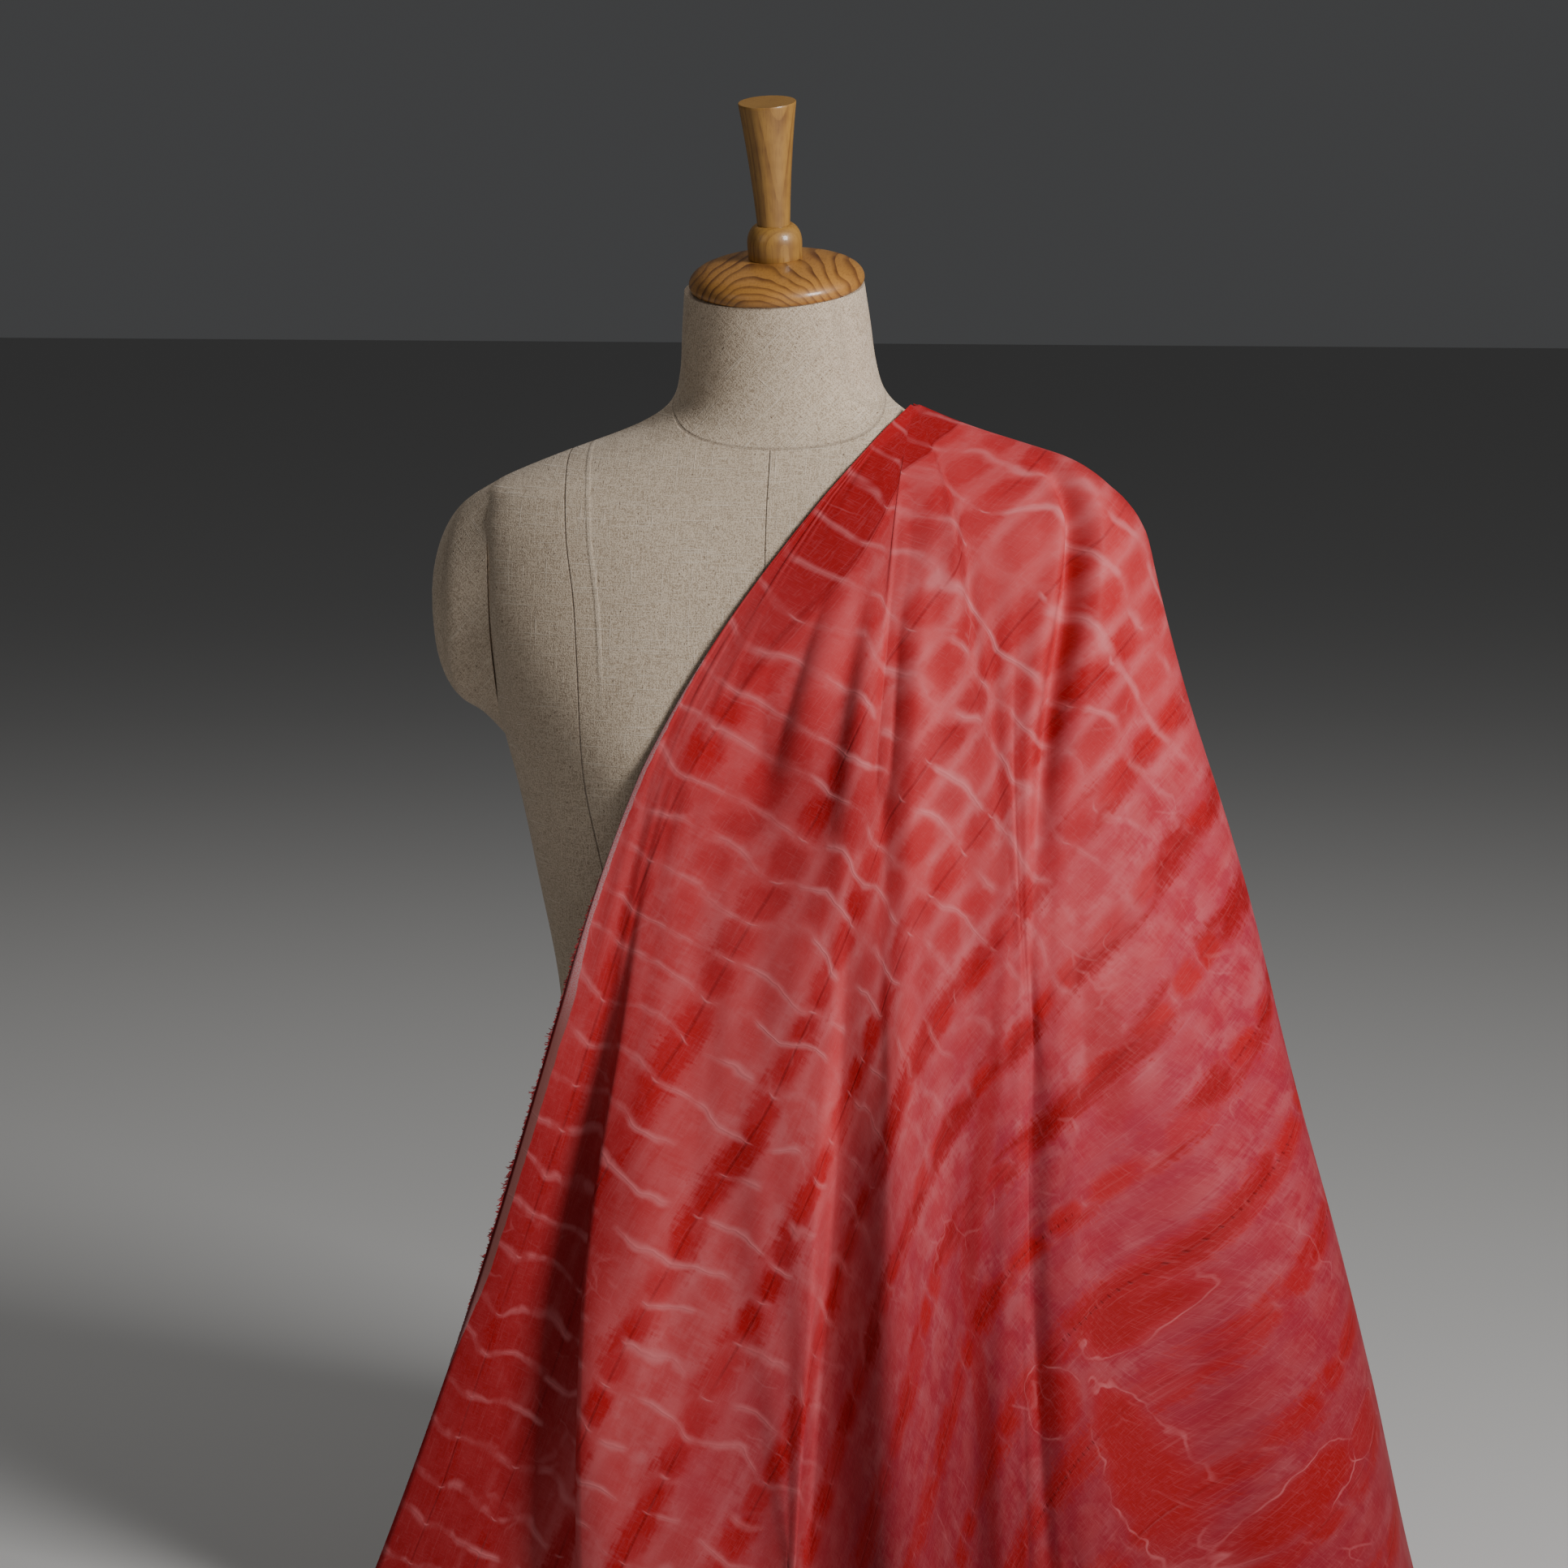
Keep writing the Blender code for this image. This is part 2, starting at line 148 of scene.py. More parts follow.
class Value:
    """A value in a shader tree, which can be reckoned with like a plain number."""

    def __init__(self, bench: "NodeBench", socket: Socket) -> None:
        """Keep the tree's bench and the output that gives the value."""
        self.bench = bench
        self.socket = socket

    def __add__(self, other: Any) -> "Value":
        """Sum of the two."""
        return self.bench.math("ADD", self, other)

    def __sub__(self, other: Any) -> "Value":
        """This one less the other."""
        return self.bench.math("SUBTRACT", self, other)

    def __rsub__(self, other: Any) -> "Value":
        """The other less this one."""
        return self.bench.math("SUBTRACT", other, self)

    def __mul__(self, other: Any) -> "Value":
        """Product of the two."""
        return self.bench.math("MULTIPLY", self, other)

    def __truediv__(self, other: Any) -> "Value":
        """This one divided by the other."""
        return self.bench.math("DIVIDE", self, other)

    def __rtruediv__(self, other: Any) -> "Value":
        """The other divided by this one."""
        return self.bench.math("DIVIDE", other, self)

    def __abs__(self) -> "Value":
        """Its distance from 0."""
        return self.bench.math("ABSOLUTE", self)


class NodeBench:
    """Adds nodes to one shader tree and links them."""

    def __init__(self, tree: bpy.types.NodeTree) -> None:
        """Keep the tree to work on."""
        self.tree = tree

    def feed(self, socket: Socket, value: Any) -> None:
        """Link a value to an input, or set the input's own value.

        Args:
            socket: The input.
            value: A value of the tree, or a plain number, vector or colour.
        """
        if isinstance(value, Value):
            self.tree.links.new(value.socket, socket)
        else:
            socket.default_value = value

    def add(self, kind: str, inputs: dict[Any, Any] | None = None, **settings: Any) -> bpy.types.Node:
        """Add a node.

        Args:
            kind: Blender's name of the node type.
            inputs: What its inputs get, by name or number.
            settings: Properties of the node and their values.

        Returns:
            The new node.
        """
        node = self.tree.nodes.new(kind)
        for name, setting in settings.items():
            setattr(node, name, setting)
        for key, value in (inputs or {}).items():
            self.feed(node.inputs[key], value)
        return node

    def take(self, kind: str, inputs: dict[Any, Any] | None = None, output: Any = 0, **settings: Any) -> Value:
        """Add a node with these inputs and settings, and take one of its outputs."""
        return Value(self, self.add(kind, inputs, **settings).outputs[output])

    def math(self, operation: str, *values: Any, clamp: bool = False) -> Value:
        """Blender's operation of that name on up to three values, kept between 0 and 1 where clamp is set."""
        return self.take("ShaderNodeMath", dict(enumerate(values)), operation=operation, use_clamp=clamp)

    def most(self, *values: Any) -> Value:
        """Largest of several values."""
        return reduce(lambda first, second: self.math("MAXIMUM", first, second), values)

    def swing(self, value: Value) -> Value:
        """Go evenly from 0 to 1 and back again over every two units of the value."""
        return self.math("PINGPONG", value, 1.0)

    def ease(self, value: Value, low: float, high: float) -> Value:
        """Go smoothly from 0 where the value is low to 1 where it is high; low may be the larger of the two."""
        ends = {"Value": value, "From Min": low, "From Max": high}
        return self.take("ShaderNodeMapRange", ends, interpolation_type="SMOOTHSTEP")

    def blend(self, share: Any, first: Any, second: Any) -> Value:
        """Mix two colours, with share as the part of the second."""
        return self.take("ShaderNodeMix", {"Factor": share, 6: first, 7: second}, 2, data_type="RGBA")

    def combine(self, x: Any, y: Any, z: Any = 0.0) -> Value:
        """Join three numbers into a vector."""
        return self.take("ShaderNodeCombineXYZ", {0: x, 1: y, 2: z})

    def split(self, vector: Value) -> tuple[Value, ...]:
        """Part a vector into its x, y and z."""
        return tuple(Value(self, socket) for socket in self.add("ShaderNodeSeparateXYZ", {0: vector}).outputs)

    def stretch(self, vector: Value, scale: tuple[float, float, float]) -> Value:
        """Stretch a vector by one factor for each direction."""
        return self.take("ShaderNodeVectorMath", {0: vector, 1: scale}, operation="MULTIPLY")

    def length(self, vector: Value) -> Value:
        """Length of a vector."""
        return self.take("ShaderNodeVectorMath", {0: vector}, "Value", operation="LENGTH")

    def noise(self, vector: Value, scale: float, detail: float = 2.0, rough: float = 0.5) -> Value:
        """Cloudy value between 0 and 1, with scale clouds to the metre and detail layers of rougher cloud."""
        inputs = {"Vector": vector, "Scale": scale, "Detail": detail, "Roughness": rough}
        return self.take("ShaderNodeTexNoise", inputs)

    def chance(self, vector: Value) -> Value:
        """Unrelated value between 0 and 1 for each whole-numbered place."""
        return self.take("ShaderNodeTexWhiteNoise", {"Vector": vector}, "Value", noise_dimensions="3D")

    def read(self, name: str) -> Value:
        """Value of the mesh attribute of that name."""
        return self.take("ShaderNodeAttribute", output="Fac", attribute_name=name)

    def here(self) -> Value:
        """Place on the piece, in metres."""
        return self.take("ShaderNodeTexCoord", output="Object")

    def line(self, distance: Value, half: float, soft: float) -> Value:
        """Mask of a line: 1 within half of where distance is 0, and 0 beyond half and soft together."""
        return self.ease(abs(distance), half + soft, half)

    def group(self, tree: bpy.types.NodeTree, **inputs: Any) -> dict[str, Value]:
        """Place a node group with these inputs, and give its outputs by name."""
        node = self.add("ShaderNodeGroup", inputs, node_tree=tree)
        return {socket.name: Value(self, socket) for socket in node.outputs}

    def dress(
        self, shader: bpy.types.Node, relief: Value, strength: float, depth: float, looks: dict[str, Any]
    ) -> None:
        """Give a shader its fine relief and its looks.

        Args:
            shader: The Principled BSDF.
            relief: Height of the relief.
            strength: How strongly it shows.
            depth: Its depth in metres.
            looks: What the shader's other inputs get, by name.
        """
        bump = self.take("ShaderNodeBump", {"Height": relief, "Strength": strength, "Distance": depth})
        for name, value in {"Normal": bump, **looks}.items():
            self.feed(shader.inputs[name], value)


def open_group(name: str, *numbers: str) -> tuple[NodeBench, dict[str, Value]]:
    """Start a shader node group that reads a place and some numbers.

    Args:
        name: Its name.
        numbers: Names of the numbers.

    Returns:
        A bench on its tree, and its inputs by name.
    """
    tree = bpy.data.node_groups.new(name, "ShaderNodeTree")
    tree.interface.new_socket(name="Place", in_out="INPUT", socket_type="NodeSocketVector")
    for label in numbers:
        tree.interface.new_socket(name=label, in_out="INPUT", socket_type="NodeSocketFloat")
    bench = NodeBench(tree)
    start = bench.add("NodeGroupInput")
    return bench, {label: Value(bench, start.outputs[label]) for label in ("Place", *numbers)}


def close_group(bench: NodeBench, outputs: dict[str, Value]) -> bpy.types.NodeTree:
    """Finish a shader node group.

    Args:
        bench: The bench on its tree.
        outputs: The numbers that it puts out, by name.

    Returns:
        The tree.
    """
    for label in outputs:
        bench.tree.interface.new_socket(name=label, in_out="OUTPUT", socket_type="NodeSocketFloat")
    bench.add("NodeGroupOutput", outputs)
    return bench.tree


def thread_group() -> bpy.types.NodeTree:
    """Plain weave seen from above: uneven threads both ways, thicker slubs here and there, and short dark fibres.

    Returns:
        The group, which reads a flat place in metres and puts out Height, Slub and Fleck.
    """
    bench, start = open_group("Woven threads", "Thread", "Run")
    x, y, _ = bench.split(start["Place"])
    fine, long = 1.0 / start["Thread"], 1.0 / start["Run"]
    heights, slubs = [], []
    for across, along, shift, rare in ((x, y, 3.7, 0.71), (y, x, 11.3, 0.66)):
        by_width, by_length = across * fine, along * long
        heights.append(bench.noise(bench.combine(by_width, by_length * 2.5, shift), 1.0, 1.0))
        slub = bench.noise(bench.combine(by_width, by_length * 0.5, shift + 5), 0.9, 0.0)
        slubs.append(bench.ease(slub, rare, rare + 0.12))
    fleck = bench.noise(bench.combine(x * fine, y * (fine * 0.35), 29.0), 0.8, 1.0)
    marks = {"Height": bench.most(*heights), "Slub": bench.most(*slubs), "Fleck": bench.ease(fleck, 0.69, 0.77)}
    return close_group(bench, marks)


def growth_group() -> bpy.types.NodeTree:
    """Wood cut through its growth rings, which turn round the Z axis of the place given.

    Returns:
        The group, which puts out Ring, dark at the end of each year's growth, and Fibre.
    """
    bench, start = open_group("Growth rings", "Gap", "Wander")
    x, y, _ = bench.split(start["Place"])
    sway = bench.noise(bench.stretch(start["Place"], (1.0, 1.0, 0.25)), 24.0, 2.0) - 0.5
    moved = sway * start["Wander"] + bench.length(bench.combine(x, y))
    year = bench.math("FRACT", moved / start["Gap"])
    late = bench.ease(year, 0.45, 0.95) * bench.ease(year, 1.0, 0.96)
    fibre = bench.noise(bench.stretch(start["Place"], (1.0, 1.0, 0.06)), 900.0, 2.0, 0.6)
    return close_group(bench, {"Ring": late, "Fibre": fibre})


def new_material(name: str) -> tuple[bpy.types.Material, NodeBench, bpy.types.Node]:
    """Start a material with its own shader.

    Args:
        name: Its name.

    Returns:
        The material, a bench on its nodes and its Principled BSDF.
    """
    material = bpy.data.materials.new(name)
    material.use_nodes = True
    return material, NodeBench(material.node_tree), material.node_tree.nodes["Principled BSDF"]


# ---- finishes ----


@dataclass(frozen=True)
class LinenFinish:
    """Greige linen cover with slubs, brown flecks and sewn seams, and a painted highlight along the pressed ridge
    beside each panel seam.
    """

    threads: bpy.types.NodeTree
    ground: Colour = (0.64, 0.520, 0.392, 1.0)
    shade: Colour = (0.36, 0.272, 0.190, 1.0)
    slub: Colour = (0.72, 0.62, 0.50, 1.0)
    fleck: Colour = (0.07, 0.040, 0.025, 1.0)
    thread: float = 0.00075
    run: float = 0.016
    pebble: float = 1100.0
    seam_half: float = 0.00015
    seam_soft: float = 0.0006
    allowance: float = 0.0160
    allowance_top: tuple[float, float] = (0.590, 0.660)
    relief_strength: float = 0.60
    relief_depth: float = 0.0008
    roughness: float = 0.93
    shine: float = 0.22
    sheen: float = 0.08

    def material(self, name: str, cut: Cut, has_seams: bool) -> bpy.types.Material:
        """Make the cover's material.

        Args:
            name: Name of the material.
            cut: How the threads lie, where the cover has no neck.
            has_seams: Whether the piece carries the seams' distances as attributes.

        Returns:
            The material.
        """
        material, bench, shader = new_material(name)
        place = bench.here()
        x, y, z = bench.split(place)
        facing = bench.split(bench.take("ShaderNodeTexCoord", output="Normal"))[0]
        side = bench.ease(abs(facing), 0.62, 0.78)
        across = x * (1.0 - side) + y * side
        slant = math.sqrt(0.5)
        turned = bench.combine((across + z) * slant, (z - across) * slant)
        straight = bench.group(self.threads, Place=bench.combine(across, z), Thread=self.thread, Run=self.run)
        bias = bench.group(self.threads, Place=turned, Thread=self.thread, Run=self.run)
        neck = bench.ease(bench.read("neck_line"), -0.0002, 0.0002) if has_seams else cut.value
        height, slub, fleck = (
            bias[label] * neck + straight[label] * (1.0 - neck) for label in ("Height", "Slub", "Fleck")
        )
        cloud = bench.noise(place, 9.0, 3.0)
        pebble = bench.noise(place, self.pebble, 1.0, 0.5)
        colour = bench.blend(bench.ease(pebble * 0.70 + height * 0.50, 0.46, 0.76), self.shade, self.ground)
        colour = bench.blend(bench.ease(cloud, 0.35, 0.75) * 0.20, colour, self.shade)
        colour = bench.blend(slub * 0.44, colour, self.slub)
        colour = bench.blend(fleck * 0.85, colour, self.fleck)
        relief = height * 0.4 + pebble * 0.6 + slub * 0.35
        if has_seams:
            seam = self.seams(bench)
            colour = bench.blend(seam * 0.62, colour, self.fleck)
            # Pressed ridge beside each panel seam: raised in the relief, and drawn lighter in colour as a painted
            # highlight.
            pressed = bench.line(bench.read("panel_line") + self.allowance, 0.0006, 0.0018)
            upper = bench.ease(bench.read("neck_line"), 0.0, -0.004) * bench.ease(z, *self.allowance_top)
            pressed = pressed * upper
            colour = bench.blend(pressed * 0.16, colour, self.slub)
            relief = relief + pressed * 0.7 - seam * 2.2
        looks = {"Base Color": colour, "Roughness": self.roughness, "Specular IOR Level": self.shine}
        looks["Sheen Weight"] = self.sheen
        bench.dress(shader, relief, self.relief_strength, self.relief_depth, looks)
        return material

    def seams(self, bench: NodeBench) -> Value:
        """Mask of the seams: round the neck, down the front and back, and down each panel.

        Args:
            bench: The material's nodes.

        Returns:
            The mask.
        """
        neck = bench.line(bench.read("neck_line"), self.seam_half, self.seam_soft) * 0.45
        middle = bench.line(bench.read("middle_line"), self.seam_half * 0.6, self.seam_soft)
        panel = bench.line(bench.read("panel_line"), self.seam_half, self.seam_soft)
        below = bench.most(middle * 0.7, panel) * bench.ease(bench.read("neck_line"), 0.0003, -0.0003)
        return bench.most(below, neck)


@dataclass(frozen=True)
class WoodFinish:
    """Honey-coloured varnished wood."""

    growth: bpy.types.NodeTree
    early: Colour
    late: Colour
    gap: float
    wander: float
    heart: tuple[float, float, float]
    grain: Grain
    ring_strength: float
    relief_strength: float = 0.10
    relief_depth: float = 0.0003
    varnish: float = 0.38
    varnish_roughness: float = 0.14

    def material(self, name: str) -> bpy.types.Material:
        """Make the material of one turned piece.

        Args:
            name: Name of the material.

        Returns:
            The material.
        """
        material, bench, shader = new_material(name)
        place = bench.here()
        log = {"Vector": place, "Location": self.heart, "Rotation": self.grain.value}
        turned = bench.take("ShaderNodeMapping", log, vector_type="TEXTURE")
        rings = bench.group(self.growth, Place=turned, Gap=self.gap, Wander=self.wander)
        ring, fibre = rings["Ring"], rings["Fibre"]
        cloud = bench.noise(place, 45.0, 3.0)
        lively = bench.ease(bench.noise(place, 60.0, 2.0), 0.30, 0.70)
        colour = bench.blend(ring * (lively * 0.45 + (self.ring_strength - 0.25)), self.early, self.late)
        colour = bench.blend(bench.ease(fibre, 0.45, 0.80) * 0.40, colour, self.late)
        colour = bench.blend(bench.ease(cloud, 0.45, 0.75) * 0.35, colour, self.late)
        looks = {
            "Base Color": colour, "Roughness": fibre * 0.20 + 0.38, "Coat Weight": self.varnish,
            "Coat Roughness": self.varnish_roughness,
        }
        bench.dress(shader, fibre - ring * 0.5, self.relief_strength, self.relief_depth, looks)
        return material


@dataclass(frozen=True)
class Marks:
    """What the silk's masks are reckoned from, at each place on the flat cloth.

    along and across are metres along the selvage and in from it, row and bound the place in fold rows and in
    bindings, from_row and from_vein 0 on a row or a binding line and 1 half way to the next, feather how far dye
    ran along the threads, cloud what roughens the marks' edges, and far_side 1 where the rows' marks fade out.
    """

    place: Value
    along: Value
    across: Value
    row: Value
    bound: Value
    from_row: Value
    from_vein: Value
    feather: Value
    cloud: Value
    far_side: Value


@dataclass(frozen=True)
class SilkFinish:
    """Thin silk, folded in rows, stitched and bound, then dyed red over pink, with painted shade laid into the colour
    towards the hem and over two folds.
    """

    threads: bpy.types.NodeTree
    pink: Colour = (0.51, 0.063, 0.068, 1.0)
    rose: Colour = (0.35, 0.025, 0.045, 1.0)
    red: Colour = (0.42, 0.010, 0.014, 1.0)
    deep: Colour = (0.12, 0.0015, 0.003, 1.0)
    bare: Colour = (0.62, 0.190, 0.200, 1.0)
    selvage: Colour = (0.40, 0.255, 0.260, 1.0)
    frayed: Colour = (0.170, 0.070, 0.062, 1.0)
    first_row: float = 0.032
    row_pitch: float = 0.062
    vein_pitch: float = 0.0310
    zigzag: float = 0.006
    band: float = 0.034
    stitch: float = 0.0052
    crackle: float = 27.0
    strong: float = 0.75
    crinkle: float = 150.0
    speckle: float = 1300.0
    thread: float = 0.0007
    run: float = 0.012
    relief_strength: float = 0.35
    relief_depth: float = 0.0010
    shine: float = 0.10
    sheen: float = 0.04
    sheen_roughness: float = 0.35
    sheen_tint: Colour = (1.0, 0.45, 0.45, 1.0)
    pools_and_shade_patches: tuple[PoolOrShadePatch, ...] = (
        PoolOrShadePatch(0.347, 0.542, 0.030, 0.017, 0.00, 1.0),
        PoolOrShadePatch(0.416, 0.548, 0.024, 0.024, 0.00, 0.9),
        PoolOrShadePatch(0.402, 0.622, 0.022, 0.062, 0.34, 1.0),
        PoolOrShadePatch(0.382, 0.694, 0.038, 0.018, 0.00, 1.0),
        PoolOrShadePatch(0.332, 0.700, 0.024, 0.013, 0.00, 0.8),
        # Painted shadow: a soft darker patch standing in for the shade of a broad fold on the panel over the arm.
        PoolOrShadePatch(0.262, 0.400, 0.014, 0.040, 0.50, 0.5),
        PoolOrShadePatch(0.264, 0.105, 0.045, 0.050, 0.00, 0.5),
        # Painted shade: a long slanted patch of deeper red standing in for the shade inside a fold on the lower front.
        PoolOrShadePatch(0.426, 0.450, 0.017, 0.130, 0.95, 0.6),
        PoolOrShadePatch(0.505, 0.620, 0.024, 0.022, 0.00, 0.6),
        PoolOrShadePatch(0.282, 0.532, 0.040, 0.008, 0.00, 0.7),
        PoolOrShadePatch(0.250, 0.790, 0.060, 0.030, 0.00, 0.6),
        PoolOrShadePatch(0.080, 0.640, 0.060, 0.028, 0.00, 0.6),
    )

    def material(self, name: str) -> bpy.types.Material:
        """Make the silk's material.

        Args:
            name: Name of the material.

        Returns:
            The material.
        """
        material, bench, shader = new_material(name)
        marks = self.read_marks(bench)
        colour, crease, hem = self.dye(bench, marks)
        weave = bench.group(self.threads, Place=marks.place, Thread=self.thread, Run=self.run)
        colour = bench.blend(bench.ease(weave["Height"], 0.50, 0.85) * 0.10, colour, self.bare)
        colour = bench.blend(weave["Slub"] * 0.07, colour, self.bare)
        colour = self.strip(bench, marks, colour)
        crinkle = bench.noise(marks.place, self.crinkle, 3.0, 0.6)
        relief = weave["Height"] * 0.14 + crinkle * 0.40 - crease * 0.8 + hem * 0.45
        looks = {
            "Base Color": colour, "Roughness": weave["Height"] * 0.15 + 0.46, "Specular IOR Level": self.shine,
            "Sheen Weight": self.sheen, "Sheen Roughness": self.sheen_roughness, "Sheen Tint": self.sheen_tint,
        }
        bench.dress(shader, relief, self.relief_strength, self.relief_depth, looks)
        return material

    def read_marks(self, bench: NodeBench) -> Marks:
        """Reckon where each place lies among the fold rows and the bindings, which wander a little.

        Args:
            bench: The material's nodes.

        Returns:
            The values for the masks.
        """
        place = bench.take("ShaderNodeUVMap", uv_map="flat")
        along, across, _ = bench.split(place)
        broad = bench.noise(place, 19.0, 1.0) * 0.030 - 0.022
        shaky = bench.noise(place, 40.0, 2.0, 0.6) * 0.009 - 0.0045
        drift = bench.noise(place, 8.0, 1.0) * 0.010 - 0.005
        lengthwise = bench.noise(bench.stretch(place, (0.12, 1.0, 1.0)), 420.0, 2.0, 0.6)
        crosswise = bench.noise(bench.stretch(place, (1.0, 0.12, 1.0)), 420.0, 2.0, 0.6)
        feather = lengthwise + crosswise - 1.0
        row = (across + drift - self.first_row) / self.row_pitch
        from_row = bench.swing(row * 2.0)
        bound = (along + (broad + shaky + from_row * self.zigzag)) / self.vein_pitch
        return Marks(
            place, along, across, row, bound, from_row, bench.swing(bound * 2.0), feather,
            cloud=feather * 0.35 + bench.noise(place, 55.0, 3.0, 0.55),
            far_side=bench.ease(across, 0.18, 0.36),
        )

    def strip(self, bench: NodeBench, marks: Marks, colour: Value) -> Value:
        """Lay the undyed selvage over the dye: speckled and pale at first, then wider, brown and frayed.

        Args:
            bench: The material's nodes.
            marks: Where the marks lie.
            colour: The dyed colour.

        Returns:
            The colour.
        """
        along, across = marks.along, marks.across
        upper = bench.ease(along, 0.20, 0.34) * bench.ease(along, 0.52, 0.44)
        lower = bench.ease(along, 0.43, 0.50) * bench.ease(along, 0.76, 0.66)
        ragged = bench.noise(marks.place, 90.0, 2.0) * 0.0020 - 0.0010
        width = lower * 0.0098 - 0.0006 + upper * 0.0048
        speckle = bench.ease(bench.noise(marks.place, self.speckle, 1.0), 0.20, 0.62)
        pale = bench.blend(speckle, self.red, self.selvage)
        tone = bench.blend(lower * bench.ease(along, 0.43, 0.52), pale, self.frayed)
        colour = bench.blend(bench.ease(width + ragged - across, -0.0004, 0.0004) * 0.9, colour, tone)
        return bench.blend(lower * 0.85 * bench.ease(across, 0.0026, 0.0014), colour, self.deep)

    def dye(self, bench: NodeBench, marks: Marks) -> tuple[Value, Value, Value]:
        """Colour that the folding, stitching, binding and dyeing left, with painted shade laid in: darker towards the
        hem, and in two patches over folds.

        Args:
            bench: The material's nodes.
            marks: Where the marks lie.

        Returns:
            The colour, a mask of the pressed creases, and a mask of the turned hem.
        """
        place, along, across, cloud = marks.place, marks.along, marks.across, marks.cloud
        soft = bench.noise(place, 10.0, 2.0)
        far = bench.length(place)
        lower = bench.most(marks.far_side, bench.ease(far, 0.30, 0.52))
        blots = self.blots(bench, marks, lower)
        wet = bench.ease(bench.noise(bench.stretch(place, (0.8, 1.6, 1.0)), 22.0, 2.0), 0.42, 0.58)
        power = (wet * 0.88 + 0.12) * (lower * 0.30 + 0.66)
        streak = bench.ease(marks.feather * 0.55 + marks.from_row, 0.56, 0.16) * power
        hem = bench.ease(across, self.band + 0.0005, self.band - 0.0005)
        upper = bench.ease(along, 0.62, 0.38)
        near = bench.ease(across - 0.065 + upper * 0.050, 0.105, 0.030)
        beside = near * (cloud * 0.30 + 0.68 - upper * 0.46)
        pressed_in = bench.ease(along, 0.27, 0.13)
        solid = hem * (pressed_in * 0.57 + 0.40)
        # Dye pools, together with the patches of painted shade.
        pools_and_shade, tide = self.pools_and_shade(bench, marks)
        amount = bench.math("MAXIMUM", bench.most(blots, streak, beside, solid), pools_and_shade, clamp=True)
        pale = bench.ease(bench.noise(place, 24.0, 2.0), 0.40, 0.62)
        mottle = bench.ease(cloud, 0.66, 0.36) * 0.34 * (pale * 0.6 + 0.4)
        ground = bench.blend(bench.ease(soft * 0.30 + across, 0.28, 0.62), self.pink, self.rose)
        ground = bench.blend(mottle, ground, self.bare)
        colour = bench.blend(amount, ground, self.red)
        outer = upper * 0.20 * bench.ease(across, 0.010, 0.007)
        # Painted shade: the colour darkens towards the hem, away from the neck point and the free edge.
        painted_shade_lower_down = bench.ease(far, 0.38, 0.84) * bench.ease(across, 0.10, 0.50)
        # Deep red from heavier dye in the pooled patches, streaks, band and edge, and from painted shade: the shade
        # patches and the darkening towards the hem.
        deep_dye_and_shade = bench.most(
            bench.ease(soft, 0.44, 0.66) * amount * 0.26, pools_and_shade * 0.50, streak * marks.far_side * 0.48,
            solid * (0.42 - outer), beside * (1.0 - upper) * 0.48, painted_shade_lower_down * 0.56,
        )
        colour = bench.blend(deep_dye_and_shade, colour, self.deep)
        worn = (bench.most(blots, streak) * 0.55 + 0.25) * bench.ease(bench.noise(place, 14.0, 1.0), 0.30, 0.52)
        on_row = bench.ease(marks.from_row, 0.050, 0.006) * bench.ease(marks.from_vein, 0.0, 0.10)
        inner_line = pressed_in * 0.5 * bench.line(across - self.band, 0.0004, 0.0008)
        crease = bench.most(worn * (1.0 - marks.far_side * 0.35) * on_row, inner_line)
        colour = bench.blend(crease * 0.45, colour, self.deep)
        veins = self.veins(bench, marks, tide)
        colour = bench.blend(veins, colour, self.bare)
        dots = self.stitches(bench, marks) * bench.ease(across, 0.44, 0.48)
        colour = bench.blend(dots * 0.6, colour, self.deep)
        pressed = bench.most(crease, dots) - bench.ease(marks.from_vein, 0.07, 0.0) * veins * 0.8
        return colour, pressed, hem * pressed_in

    def blots(self, bench: NodeBench, marks: Marks, lower: Value) -> Value:
        """Mask of the soft squarish blots of dye that sit on each fold row, and more weakly half way between two.

        Args:
            bench: The material's nodes.
            marks: Where the marks lie.
            lower: 1 where the blots between the rows fade out.

        Returns:
            The mask.
        """
        half_rows = bench.math("ROUND", marks.row * 2.0)
        luck = bench.chance(bench.combine(bench.math("FLOOR", marks.bound), half_rows))
        along = (1.0 - marks.from_vein) / (luck * 0.20 + 0.84)
        across = bench.swing(marks.row * 4.0) / 0.80 * (lower * 0.25 + 1.0)
        reach = bench.length(bench.combine(along, across)) * 0.5 + bench.most(along, across) * 0.5
        mask = bench.ease(reach - 0.74 + marks.cloud * 1.3, 1.20, 0.40)
        drawn = bench.ease(bench.noise(marks.place, 12.0, 2.0), 0.34, 0.62)
        strength = bench.math("MULTIPLY_ADD", luck, 0.22, drawn * 0.36 + 0.50, clamp=True)
        weaker = bench.swing(half_rows) * (lower * 0.62 + 0.12)
        return strength * (1.0 - weaker) * mask

    def stitches(self, bench: NodeBench, marks: Marks) -> Value:
        """Mask of the short runs of needle holes on some rows.

        Args:
            bench: The material's nodes.
            marks: Where the marks lie.

        Returns:
            The mask.
        """
        hole = bench.ease(bench.swing(marks.along / (self.stitch / 2)), 0.30, 0.05)
        on_row = bench.ease(marks.from_row, 0.060, 0.025)
        return hole * on_row * bench.ease(bench.noise(marks.place, 9.0, 0.0), 0.58, 0.61)

